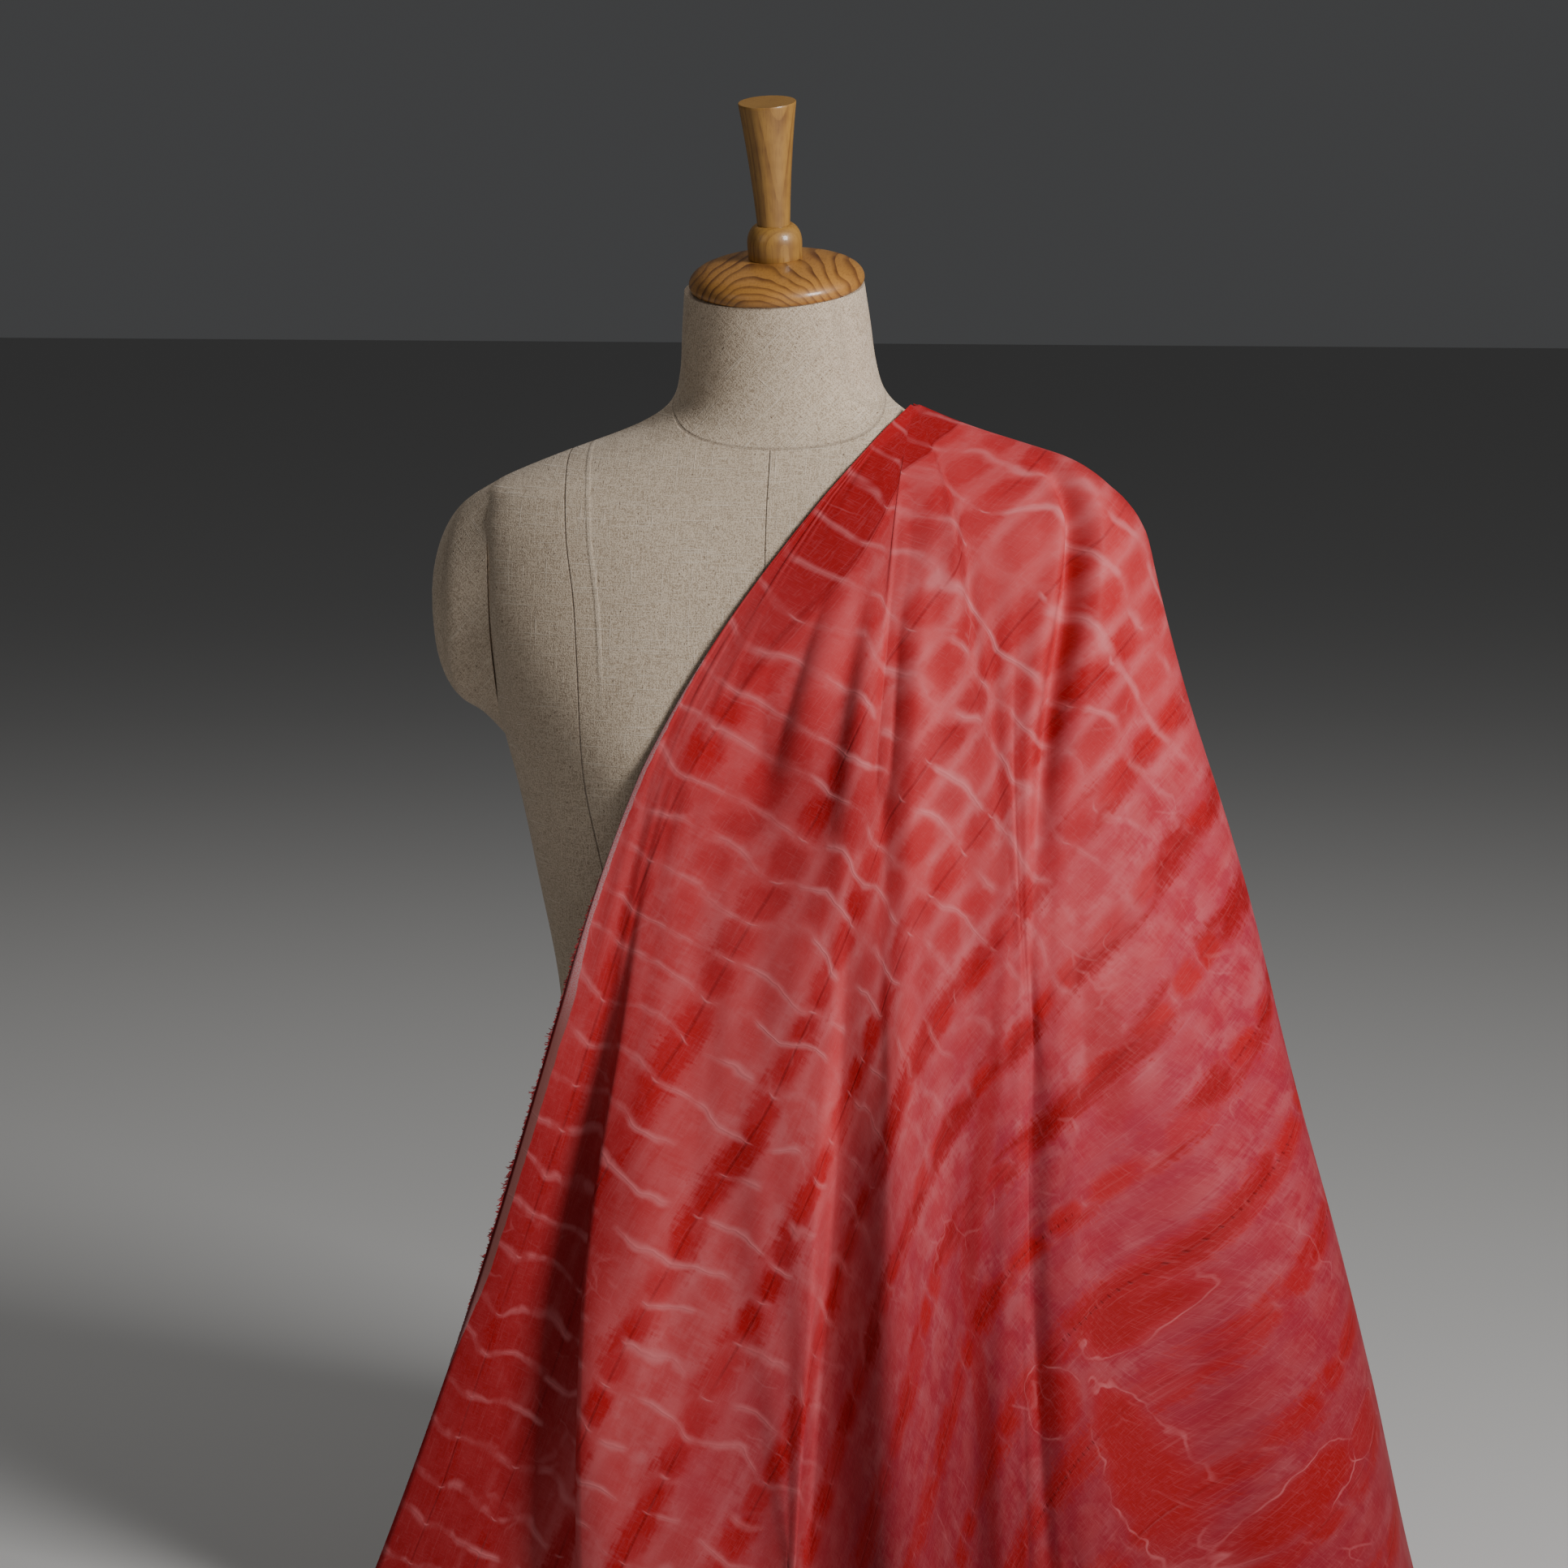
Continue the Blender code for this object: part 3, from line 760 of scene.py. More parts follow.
    def veins(self, bench: NodeBench, marks: Marks, tide: Value) -> Value:
        """Mask of the pale lines where the binding kept the dye out.

        Args:
            bench: The material's nodes.
            marks: Where the marks lie.
            tide: Mask of the tide lines in the large pools.

        Returns:
            The mask.
        """
        place, across, from_vein = marks.place, marks.across, marks.from_vein
        edge = bench.ease(across, 0.125, 0.060)
        inner = bench.ease(across, 0.40, 0.16)
        patch = bench.ease(bench.noise(place, 26.0, 2.0), 0.42, 0.58)
        broken = bench.ease(bench.noise(place, 40.0, 2.0), 0.44, 0.56)
        at_row = bench.ease(marks.from_row, 0.18, 0.02) * (0.44 - marks.far_side * 0.36)
        power = bench.most(edge * 0.36, patch * (inner * 0.10 + 0.04)) * broken
        thin = bench.ease(from_vein, 0.085, 0.010) * bench.most(power, at_row)
        soft = edge * (broken * 0.24 + 0.10) * bench.ease(from_vein, 0.26, 0.02)
        strength = patch * bench.ease(across, 0.045, 0.095) * inner
        halo = strength * 0.52 * bench.ease(from_vein, 0.29, 0.03)
        between = strength * 0.12 * bench.ease(abs(marks.from_row - 0.5), 0.20, 0.02)
        warp = bench.noise(place, 34.0, 2.0) * 0.030 - 0.015
        moved = {0: bench.stretch(place, (1.0, 0.6, 1.0)), 1: bench.combine(warp, warp * -0.7)}
        cells = {"Vector": bench.take("ShaderNodeVectorMath", moved, operation="ADD"), "Scale": self.crackle}
        from_wall = bench.take("ShaderNodeTexVoronoi", cells, "Distance", feature="DISTANCE_TO_EDGE")
        where = bench.ease(bench.noise(place, 13.0, 1.0), 0.54, 0.64) * broken
        cracks = where * 0.16 * bench.ease(from_wall, 0.028, 0.004)
        return bench.math("MAXIMUM", bench.most(thin, soft, halo, between), bench.most(cracks, tide), clamp=True)

    def pools_and_shade(self, bench: NodeBench, marks: Marks) -> tuple[Value, Value]:
        """Masks of the large pooled patches of dye together with the patches of painted shade, and of the pale tide
        lines in the strongest dye patches.

        Args:
            bench: The material's nodes.
            marks: Where the marks lie.

        Returns:
            The two masks.
        """
        ragged = bench.noise(marks.place, 42.0, 2.0, 0.55) * 0.80 - 0.40
        crinkled = bench.noise(marks.place, 70.0, 1.0, 0.5) * 0.35 - 0.175
        masks, tides = [], []
        for pool_or_shade in self.pools_and_shade_patches:
            y = marks.across - pool_or_shade.across
            x = (marks.along - pool_or_shade.along - y * pool_or_shade.slant) / pool_or_shade.half_along
            front = bench.length(bench.combine(x, y / pool_or_shade.half_across)) + ragged
            masks.append(bench.ease(front, 1.30, 0.62) * pool_or_shade.strength)
            if pool_or_shade.strength >= self.strong:
                level = bench.ease(bench.swing((front + crinkled) * 2.0), 0.090, 0.015)
                tides.append(level * bench.ease(front, 1.10, 0.85) * bench.ease(front, 0.25, 0.40))
        seen = bench.ease(bench.noise(marks.place, 22.0, 1.0), 0.36, 0.50)
        return bench.most(*masks), seen * 0.50 * bench.most(*tides)


# ---- modelling helpers ----


def select_only(*items: Piece) -> None:
    """Deselect everything, then select these objects and make the first one active.

    Args:
        items: The objects.
    """
    if bpy.context.object and bpy.context.object.mode != "OBJECT":
        bpy.ops.object.mode_set(mode="OBJECT")
    bpy.ops.object.select_all(action="DESELECT")
    for item in items:
        item.select_set(True)
    bpy.context.view_layer.objects.active = items[0]


def put_in_scene(name: str, data: Any) -> Piece:
    """Make an object and put it in the scene.

    Args:
        name: Its name.
        data: Its mesh, camera or light.

    Returns:
        The object.
    """
    item = bpy.data.objects.new(name, data)
    bpy.context.scene.collection.objects.link(item)
    return item


def settle(piece: Piece, name: str, material: bpy.types.Material, slot: str, *nodes: str) -> Piece:
    """Finish a piece: its place goes into its mesh, and it rides on the part.

    Args:
        piece: The object.
        name: Its name.
        material: Its finish.
        slot: The record's material slot; not used.
        nodes: CAD nodes that it stands for.

    Returns:
        The piece.
    """
    select_only(piece)
    bpy.ops.object.transform_apply(location=True, rotation=True, scale=True)
    piece.name = piece.data.name = name
    piece.data.materials.clear()
    piece.data.materials.append(material)
    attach(piece, BODY)
    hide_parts(*nodes)
    LOG.info("%s: %d faces", name, len(piece.data.polygons))
    return piece


def through_rows(rows: Sequence[tuple[float, ...]], at: np.ndarray) -> np.ndarray:
    """Smooth curve through a table.

    Args:
        rows: Rows of numbers; the first column is the key and rises.
        at: Keys to read the table at.

    Returns:
        One row of the other columns for each key.
    """
    keys = np.array([row[0] for row in rows])
    values = np.array([row[1:] for row in rows])
    tangents = np.gradient(values, keys, axis=0)
    at = np.clip(np.asarray(at, dtype=float), keys[0], keys[-1])
    index = np.clip(np.searchsorted(keys, at, side="right") - 1, 0, len(keys) - 2)
    span = (keys[index + 1] - keys[index])[:, None]
    u = (at - keys[index])[:, None] / span
    rise = u * u * (3 - 2 * u)
    leave = u * (1 - u) ** 2 * span
    arrive = u * u * (u - 1) * span
    low, high = values[index], values[index + 1]
    return low + (high - low) * rise + tangents[index] * leave + tangents[index + 1] * arrive


def read_path(at: Any, keys: np.ndarray, points: np.ndarray) -> np.ndarray:
    """Points at one or more keys along a path, whose own keys rise."""
    return np.stack([np.interp(at, keys, column) for column in points.T], axis=-1)


def smoothstep(low: float, high: float, value: np.ndarray) -> np.ndarray:
    """Ease from 0 at low to 1 at high."""
    u = np.clip((value - low) / (high - low), 0.0, 1.0)
    return u * u * (3 - 2 * u)


# ---- studio ----


@dataclass
class Viewpoint:
    """Camera at the height of the neck, a little to the form's left, looking slightly down."""

    azimuth: float = math.radians(7.0)
    elevation: float = math.radians(8.0)
    lens: float = 120.0
    sensor: float = 36.0
    target: tuple[float, float, float] = (-0.013, 0.0, 0.546)
    image_side: int = 1932
    metres_per_pixel: float = 0.00054
    clip_end: float = 60.0

    def place(self) -> None:
        """Put the camera in the scene."""
        data = bpy.data.cameras.new("camera")
        data.lens = self.lens
        data.sensor_width = self.sensor
        data.clip_end = self.clip_end
        camera = put_in_scene("camera", data)
        level = math.cos(self.elevation)
        back = Vector((math.sin(self.azimuth) * level, -math.cos(self.azimuth) * level, math.sin(self.elevation)))
        distance = self.lens / self.sensor * self.image_side * self.metres_per_pixel
        camera.location = Vector(self.target) + back * distance
        camera.rotation_euler = (-back).to_track_quat("-Z", "Y").to_euler()
        bpy.context.scene.camera = camera


@dataclass(frozen=True)
class Lamp:
    """A soft square light: where it hangs, its side, its power, and whether glossy surfaces mirror it."""

    name: str
    place: tuple[float, float, float]
    side: float
    watts: float
    mirrored: bool = True


@dataclass
class Studio:
    """Plain pale floor and soft lights."""

    floor_side: float = 30.0
    floor_cells: int = 8
    floor_colour: Colour = (0.54, 0.53, 0.515, 1.0)
    floor_cloud: Colour = (0.5, 0.5, 0.49, 1.0)
    floor_roughness: float = 0.85
    air: Colour = (0.80, 0.81, 0.83, 1.0)
    air_strength: float = 0.070
    aim: tuple[float, float, float] = (0.0, 0.0, 0.55)
    lamps: tuple[Lamp, ...] = (
        Lamp("key", (1.82, -1.34, 1.72), 0.75, 78.0),
        Lamp("fill", (-2.4, -2.4, 1.9), 2.0, 7.0),
        Lamp("rear", (-0.6, 1.7, 3.2), 1.6, 22.0, False),
    )

    def build(self) -> None:
        """Lay the floor and hang the lights."""
        cells = self.floor_cells
        bpy.ops.mesh.primitive_grid_add(
            x_subdivisions=cells, y_subdivisions=cells, size=self.floor_side, location=(0, 0, 0)
        )
        floor = bpy.context.object
        floor.name = "floor"
        material, bench, shader = new_material("floor")
        cloud = bench.noise(bench.here(), 1.5, 2.0)
        bench.feed(shader.inputs["Base Color"], bench.blend(cloud * 0.06, self.floor_colour, self.floor_cloud))
        bench.feed(shader.inputs["Roughness"], self.floor_roughness)
        floor.data.materials.append(material)
        for lamp in self.lamps:
            data = bpy.data.lights.new(lamp.name, "AREA")
            data.energy = lamp.watts
            data.size = lamp.side
            light = put_in_scene(lamp.name, data)
            light.location = lamp.place
            light.visible_glossy = lamp.mirrored
            light.rotation_euler = (Vector(self.aim) - Vector(lamp.place)).to_track_quat("-Z", "Y").to_euler()
        world = bpy.data.worlds.new("air")
        world.use_nodes = True
        background = world.node_tree.nodes["Background"]
        background.inputs["Color"].default_value = self.air
        background.inputs["Strength"].default_value = self.air_strength
        bpy.context.scene.world = world


# ---- dress form ----


@dataclass
class DressForm:
    """Linen cover of the torso, neck and arm caps, sewn from panels."""

    lean: float = 0.021
    neck_seam_z: float = 0.773
    neck_seam_y: float = -0.058
    neck_seam_slope: float = 0.52
    middle_x: float = 0.001
    panel_seam: tuple[tuple[float, float], ...] = (
        (0.000, 0.105), (0.200, 0.110), (0.400, 0.098), (0.506, 0.110), (0.564, 0.1190), (0.638, 0.1230),
        (0.679, 0.1257), (0.709, 0.1302), (0.750, 0.1350), (0.770, 0.1390), (0.880, 0.1600),
    )
    plate_x: float = 0.1915
    plate_z: float = 0.669
    plate_slope: float = 0.040
    arm_growth: float = 1.05
    rim_reach: float = 0.0015
    rim_lap: float = 0.0048
    rim_sink: float = 0.0004
    merge_distance: float = 0.00001
    crease_angle: float = math.radians(50.0)
    quad_angle: float = math.radians(60.0)
    ray_start: float = 0.3
    levels: int = 2

    def build(self, linen: LinenFinish) -> None:
        """Make the torso's cover and the two arm caps' covers.

        Args:
            linen: Their finish.
        """
        torso = self.fine_copy("dress_form")
        self.mark_seams(torso.data)
        settle(torso, "form_cover", linen.material("linen_panels", Cut.STRAIGHT, True), "linen", "dress_form")
        bias = linen.material("linen_bias", Cut.BIAS, False)
        right = self.fine_copy("arm_cap_right", meets_torso=True)
        settle(right, "arm_cover_right", bias, "linen", "arm_cap_right")
        settle(self.fine_copy("arm_cap_left"), "arm_cover_left", bias, "linen", "arm_cap_left")

    def fine_copy(self, node: str, meets_torso: bool = False) -> Piece:
        """Copy a CAD node as one smooth skin of finer faces, with its flat ends kept.

        Args:
            node: The node's name.
            meets_torso: Whether its rim is drawn in to the torso's cover.

        Returns:
            The copy.
        """
        piece = put_in_scene(node + "_skin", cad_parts[node].data.copy())
        select_only(piece)
        if piece.data.has_custom_normals:
            bpy.ops.mesh.customdata_custom_splitnormals_clear()
        bpy.ops.object.mode_set(mode="EDIT")
        bpy.ops.mesh.select_mode(type="EDGE")
        bpy.ops.mesh.select_all(action="SELECT")
        bpy.ops.mesh.remove_doubles(threshold=self.merge_distance)
        bpy.ops.mesh.tris_convert_to_quads(face_threshold=self.quad_angle, shape_threshold=self.quad_angle)
        if meets_torso:
            bpy.ops.object.mode_set(mode="OBJECT")
            self.draw_rim(piece.data)
            bpy.ops.object.mode_set(mode="EDIT")
        bpy.ops.mesh.select_all(action="DESELECT")
        bpy.ops.mesh.edges_select_sharp(sharpness=self.crease_angle)
        bpy.ops.transform.edge_crease(value=1.0)
        bpy.ops.mesh.select_all(action="SELECT")
        bpy.ops.mesh.normals_make_consistent(inside=False)
        bpy.ops.object.mode_set(mode="OBJECT")
        rounding = piece.modifiers.new("rounding", "SUBSURF")
        rounding.levels = rounding.render_levels = self.levels
        bpy.ops.object.modifier_apply(modifier=rounding.name)
        bpy.ops.object.shade_smooth_by_angle(angle=self.crease_angle)
        return piece

    def draw_rim(self, mesh: bpy.types.Mesh) -> None:
        """Fill out the shown arm cap, and lay its rim on the rounded edge of the torso's plate.

        Args:
            mesh: The arm cap's merged mesh.
        """
        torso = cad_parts["dress_form"].data
        faces = [tuple(face.vertices) for face in torso.polygons]
        tree = BVHTree.FromPolygons([vertex.co.copy() for vertex in torso.vertices], faces)
        for vertex in mesh.vertices:
            x, y, z = vertex.co
            plate = -(self.plate_x + self.plate_slope * (z - self.plate_z)) - self.lean * z
            y, z = y * self.arm_growth, self.plate_z + (z - self.plate_z) * self.arm_growth
            vertex.co = (x, y, z)
            if plate - x > self.rim_reach:
                continue
            inward = Vector((0.0, -y, self.plate_z - z)).normalized()
            at = plate + self.rim_lap
            hit, _, _, _ = tree.ray_cast(Vector((at, 0.0, self.plate_z)) - inward * self.ray_start, inward)
            if hit is not None:
                vertex.co = hit + inward * self.rim_sink

    def mark_seams(self, mesh: bpy.types.Mesh) -> None:
        """Store each point's distance from the neck seam, the middle seams and the panel seams.

        Args:
            mesh: The cover's mesh.
        """
        points = np.empty(len(mesh.vertices) * 3)
        mesh.vertices.foreach_get("co", points)
        x, y, z = points.reshape(-1, 3).T
        upright = x + self.lean * z
        plane = z - self.neck_seam_z - self.neck_seam_slope * (y - self.neck_seam_y)
        lines = {
            "neck_line": plane / math.hypot(1.0, self.neck_seam_slope),
            "middle_line": upright - self.middle_x,
            "panel_line": np.abs(upright) - through_rows(self.panel_seam, z)[:, 0],
        }
        for name, distance in lines.items():
            attribute = mesh.attributes.new(name, "FLOAT", "POINT")
            attribute.data.foreach_set("value", distance.astype(np.float32))


# ---- neck fittings ----


@dataclass
class NeckFittings:
    """Turned wood on the neck: a domed cap, a bead and a flared handle."""

    top: tuple[float, float, float] = (-0.016596, -0.008, 0.876)
    pitch: float = math.radians(12.0)
    roll: float = math.radians(1.6)
    steps: int = 96
    sharp: float = math.radians(38.0)
    cap: tuple[Turn, ...] = (
        Turn(0.0556, 0.0003), Turn(0.0566, 0.0010), Turn(0.0573, 0.0024), Turn(0.0577, 0.0042), Turn(0.0575, 0.0062),
        Turn(0.0566, 0.0083), Turn(0.0545, 0.0108), Turn(0.0510, 0.0132), Turn(0.0460, 0.0152), Turn(0.0400, 0.0169),
        Turn(0.0330, 0.0182), Turn(0.0250, 0.0192), Turn(0.0170, 0.0198),
    )
    bead: tuple[Turn, ...] = (
        Turn(0.0166, 0.0195), Turn(0.0174, 0.0197), Turn(0.0178, 0.0203), Turn(0.0178, 0.0240), Turn(0.0180, 0.0285),
        Turn(0.0180, 0.0315), Turn(0.0176, 0.0342), Turn(0.0168, 0.0367), Turn(0.0156, 0.0389), Turn(0.0141, 0.0407),
        Turn(0.0126, 0.0418), Turn(0.0118, 0.0421), Turn(0.0112, 0.0421),
    )
    handle: tuple[Turn, ...] = (
        Turn(0.0108, 0.0421), Turn(0.0109, 0.0440), Turn(0.0120, 0.0600), Turn(0.0136, 0.0780), Turn(0.0154, 0.0950),
        Turn(0.0172, 0.1100), Turn(0.0187, 0.1210), Turn(0.0189, 0.1226), Turn(0.0186, 0.1232), Turn(0.0165, 0.1232),
    )
    honey: Colour = (0.36, 0.185, 0.040, 1.0)
    amber: Colour = (0.42, 0.190, 0.040, 1.0)
    brown: Colour = (0.12, 0.040, 0.010, 1.0)

    def build(self, growth: bpy.types.NodeTree) -> None:
        """Turn the cap, the bead and the handle.

        Args:
            growth: The growth-ring group.
        """
        x, y, z = self.top
        across = WoodFinish(
            growth, self.amber, self.brown, gap=0.0052, wander=0.020, heart=(x - 0.006, y, z - 0.026),
            grain=Grain.FACE, ring_strength=0.80,
        )
        along = WoodFinish(
            growth, self.honey, self.brown, gap=0.0034, wander=0.003, heart=(x - 0.060, y + 0.110, z),
            grain=Grain.LENGTH, ring_strength=0.40,
        )
        for name, profile, finish, node in (
            ("wood_cap", self.cap, across, "neck_cap"),
            ("wood_bead", self.bead, along, "cap_collar"),
            ("wood_handle", self.handle, along, "handle"),
        ):
            settle(self.turn(profile), name, finish.material(name), "wood", node)

    def turn(self, profile: tuple[Turn, ...]) -> Piece:
        """Raise a round piece ring by ring from its profile, then stand it on the tilted neck.

        Args:
            profile: The rows from bottom to top.

        Returns:
            The piece.
        """
        bpy.ops.object.select_all(action="DESELECT")
        foot = profile[0]
        bpy.ops.mesh.primitive_circle_add(vertices=self.steps, radius=foot.radius, fill_type="NGON", location=(0, 0, 0))
        piece = bpy.context.object
        bpy.ops.object.mode_set(mode="EDIT")
        bpy.ops.mesh.select_all(action="SELECT")
        bpy.ops.transform.translate(value=(0.0, 0.0, foot.height))
        for lower, upper in zip(profile, profile[1:]):
            lift = {"value": (0.0, 0.0, upper.height - lower.height)}
            bpy.ops.mesh.extrude_region_move(TRANSFORM_OT_translate=lift)
            ratio = upper.radius / lower.radius
            bpy.ops.transform.resize(value=(ratio, ratio, 1.0), center_override=(0.0, 0.0, upper.height))
        bpy.ops.mesh.select_all(action="SELECT")
        bpy.ops.mesh.normals_make_consistent(inside=False)
        bpy.ops.object.mode_set(mode="OBJECT")
        bpy.ops.object.shade_smooth_by_angle(angle=self.sharp)
        tilt = Matrix.Rotation(self.roll, 4, "Y").transposed() @ Matrix.Rotation(self.pitch, 4, "X")
        piece.matrix_world = Matrix.Translation(Vector(self.top)) @ tilt
        return piece


# ---- silk ----


@dataclass
class SilkLength:
    """The silk: a fan of fall lines from the neck point, folded along lanes that run to the hem."""

    thickness: float = 0.0007
    clearance: float = 0.0022
    shoulder_clearance: float = 0.0006
    shoulder_z: float = 0.772
    shoulder_band: float = 0.012
    cad_half: float = 0.0010
    tip_lift: float = 0.014
    tip_z: float = 0.712
    tip_band: float = 0.045
    base_lines: int = 181
    fall_samples: int = 160
    fall_step: float = 0.004
    outside: float = 2.0
    rows: int = 150
    row_growth: float = 1.25
    columns_per_step: int = 4
    push_passes: int = 3
    neck_point: tuple[float, float, float] = (0.0720, 0.0060, 0.8000)
    neck_rounding: float = 0.004
    hem_z: float = 0.015
    bow: float = 0.042
    bow_peak: float = 0.32
    bow_fade: float = 2.2
    bow_power: float = 2.2
    bow_end_power: int = 3
    fold_fade: float = 0.16
    ease_begins: float = 0.30
    ease_ends: float = 0.55
    ease_passes: int = 18
    near_reach: float = 0.15
    far_reach: float = 0.60
    hem_line: tuple[HemPoint, ...] = (
        HemPoint(0.00, -0.274, -0.148), HemPoint(0.15, -0.130, -0.178), HemPoint(0.40, 0.080, -0.190),
        HemPoint(0.58, 0.235, -0.180), HemPoint(0.69, 0.352, -0.125), HemPoint(0.77, 0.407, -0.020),
        HemPoint(0.84, 0.386, 0.080), HemPoint(0.91, 0.240, 0.155), HemPoint(0.96, 0.080, 0.180),
        HemPoint(1.00, -0.080, 0.176),
    )
    lanes: tuple[Lane, ...] = (
        Lane(0, 0.000, 0.000, 0.000), Lane(6, 0.030, 0.057, 0.128), Lane(9, 0.055, 0.076, 0.167),
        Lane(17, 0.160, 0.193, 0.317), Lane(24, 0.420, 0.345, 0.324), Lane(28, 0.550, 0.412, 0.394),
        Lane(33, 0.630, 0.487, 0.433), Lane(38, 0.695, 0.546, 0.480), Lane(42, 0.735, 0.577, 0.510),
        Lane(46, 0.785, 0.592, 0.535), Lane(51, 0.825, 0.635, 0.565), Lane(59, 0.865, 0.760, 0.760),
        Lane(69, 1.000, 1.000, 1.000),
    )
    folds: tuple[Fold, ...] = (
        # the free edge's roll, and the first troughs beside it
        Fold(0.0, 0.30, 0.60, 1.2, 2.4, 2.6, 0.005),
        Fold(5.8, 0.33, 0.80, 1.2, 2.9, 2.7, -0.0155),
        Fold(9.6, 0.46, 0.76, 1.2, 1.1, 6.0, 0.014, -0.012),
        Fold(16.0, 0.40, 0.75, 1.2, 3.6, 3.8, -0.004),
        # short ridges over the chest
        Fold(18.2, 0.17, 0.28, 0.42, 1.0, 1.0, -0.0040),
        Fold(19.9, 0.16, 0.27, 0.44, 1.7, 1.8, 0.0056),
        Fold(22.0, 0.17, 0.29, 0.44, 1.0, 0.9, -0.0045),
        Fold(23.7, 0.17, 0.29, 0.50, 1.7, 2.0, 0.0068),
        Fold(27.0, 0.18, 0.29, 0.44, 1.6, 1.4, -0.0050),
        Fold(30.3, 0.16, 0.28, 0.50, 2.4, 3.6, 0.0085),
        # the wide trough and its banks
        Fold(22.6, 0.50, 0.80, 1.2, 6.0, 0.9, 0.0060, 0.006),
        Fold(24.3, 0.36, 0.80, 1.2, 0.6, 3.6, -0.0175),
        Fold(28.8, 0.38, 0.76, 1.2, 2.2, 3.6, 0.013),
        # the front, with a narrow crease
        Fold(35.4, 0.38, 0.70, 1.2, 3.0, 2.4, -0.0035),
        Fold(40.4, 0.42, 0.66, 1.2, 2.2, 2.2, 0.0016),
        Fold(42.0, 0.15, 0.40, 1.2, 0.25, 0.30, -0.0005),
        # the fall from the shoulder
        Fold(45.2, 0.09, 0.20, 0.50, 5.0, 1.0, 0.0050),
        Fold(51.5, 0.02, 0.12, 0.36, 7.0, 6.0, 0.0060),
        Fold(47.0, 0.10, 0.18, 0.42, 1.1, 1.1, -0.0120, 0.0, 2.6),
        Fold(49.8, 0.08, 0.16, 0.46, 1.6, 3.4, 0.0075, -0.002),
        # the panel that hangs over the arm
        Fold(45.0, 0.42, 0.60, 0.95, 2.4, 1.6, -0.0035),
        Fold(50.0, 0.40, 0.62, 1.2, 3.0, 2.0, 0.0050),
        Fold(54.9, 0.58, 0.80, 1.2, 1.6, 1.2, -0.0080),
        Fold(57.5, 0.58, 0.80, 1.2, 1.6, 2.6, 0.0090),
        Fold(59.5, 0.20, 0.50, 1.0, 4.0, 4.0, 0.007),
        # the back
        Fold(63.0, 0.32, 0.77, 1.2, 1.2, 1.2, -0.022),
        Fold(64.7, 0.32, 0.77, 1.2, 1.2, 1.2, 0.016),
        Fold(66.4, 0.32, 0.77, 1.2, 1.1, 1.1, -0.020),
        Fold(67.8, 0.32, 0.77, 1.2, 1.1, 1.1, 0.012),
    )
    spread: tuple[Spread, ...] = (
        Spread(0.0, 0.0, 0.0), Spread(0.1, 6.0, 9.0), Spread(0.2, 10.0, 16.0), Spread(0.3, 15.0, 23.0),
        Spread(0.4, 23.0, 34.0), Spread(0.5, 29.0, 48.0), Spread(0.6, 42.0, 57.0), Spread(0.7, 64.0, 61.0),
        Spread(0.8, 88.0, 70.0), Spread(0.9, 112.0, 84.0), Spread(1.0, 130.0, 100.0),
    )
    ripple: float = 0.0016
    ripple_begins: float = 0.2
    ripples_across: float = 0.45
    ripples_down: float = 7.0
    ripple_layer: float = 3.1

    def build(self, finish: SilkFinish) -> None:
        """Drape the sheet over the form and dress it.

        Args:
            finish: The silk's finish.
        """
        tree = self.body_tree()
        shares = np.linspace(0.0, 1.0, self.base_lines)
        falls = np.linspace(0.0, 1.0, self.rows) ** self.row_growth
        last = self.lanes[-1].column
        columns = np.linspace(0.0, last, int(last) * self.columns_per_step + 1)
        wanted = self.lane_shares(falls, columns)
        base, reach = self.drape_grid(tree, shares, falls)
        grid = self.along_lanes(self.eased(base, falls), shares, wanted)
        reach = self.along_lanes(reach[:, :, None], shares, wanted)[:, :, 0]
        middle = self.folded(grid, falls, columns, reach)
        middle = self.clear_of_form(tree, middle)
        piece = self.sheet_mesh(middle, self.flat_places(wanted, reach))
        fringe = Fringe().build(middle[:, 0], middle[:, 1], reach[:, 0])
        piece = settle(piece, "silk_length", finish.material("shibori_silk"), "silk", "silk")
        area = sum(face.area for face in piece.data.polygons) / 2
        LOG.info("silk area %.3f square metres", area)

    def body_tree(self) -> BVHTree:
        """Search tree over the form and its arm caps.

        Returns:
            The tree.
        """
        points, faces = [], []
        for name in ("dress_form", "arm_cap_right", "arm_cap_left"):
            start = len(points)
            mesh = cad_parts[name].data
            points.extend(vertex.co.copy() for vertex in mesh.vertices)
            faces.extend([start + v for v in face.vertices] for face in mesh.polygons)
        return BVHTree.FromPolygons(points, faces)

    def clearance_at(self, z: float) -> float:
        """Clearance of the silk from the form at a height, small along the top of the shoulder."""
        near = math.exp(-(((z - self.shoulder_z) / self.shoulder_band) ** 2))
        return self.clearance + (self.shoulder_clearance - self.clearance) * near

    def taut_heights(self, points: list[tuple[float, float]]) -> list[tuple[float, float]]:
        """Points of a descending line that a taut cord would touch.

        Args:
            points: Heights and distances out, from the top down.

        Returns:
            The outermost of them.
        """
        touched: list[tuple[float, float]] = []
        for point in points:
            while len(touched) > 1:
                (z0, d0), (z1, d1) = touched[-2], touched[-1]
                if (d1 - d0) * (z0 - point[0]) > (point[1] - d0) * (z0 - z1):
                    break
                touched.pop()
            touched.append(point)
        return touched

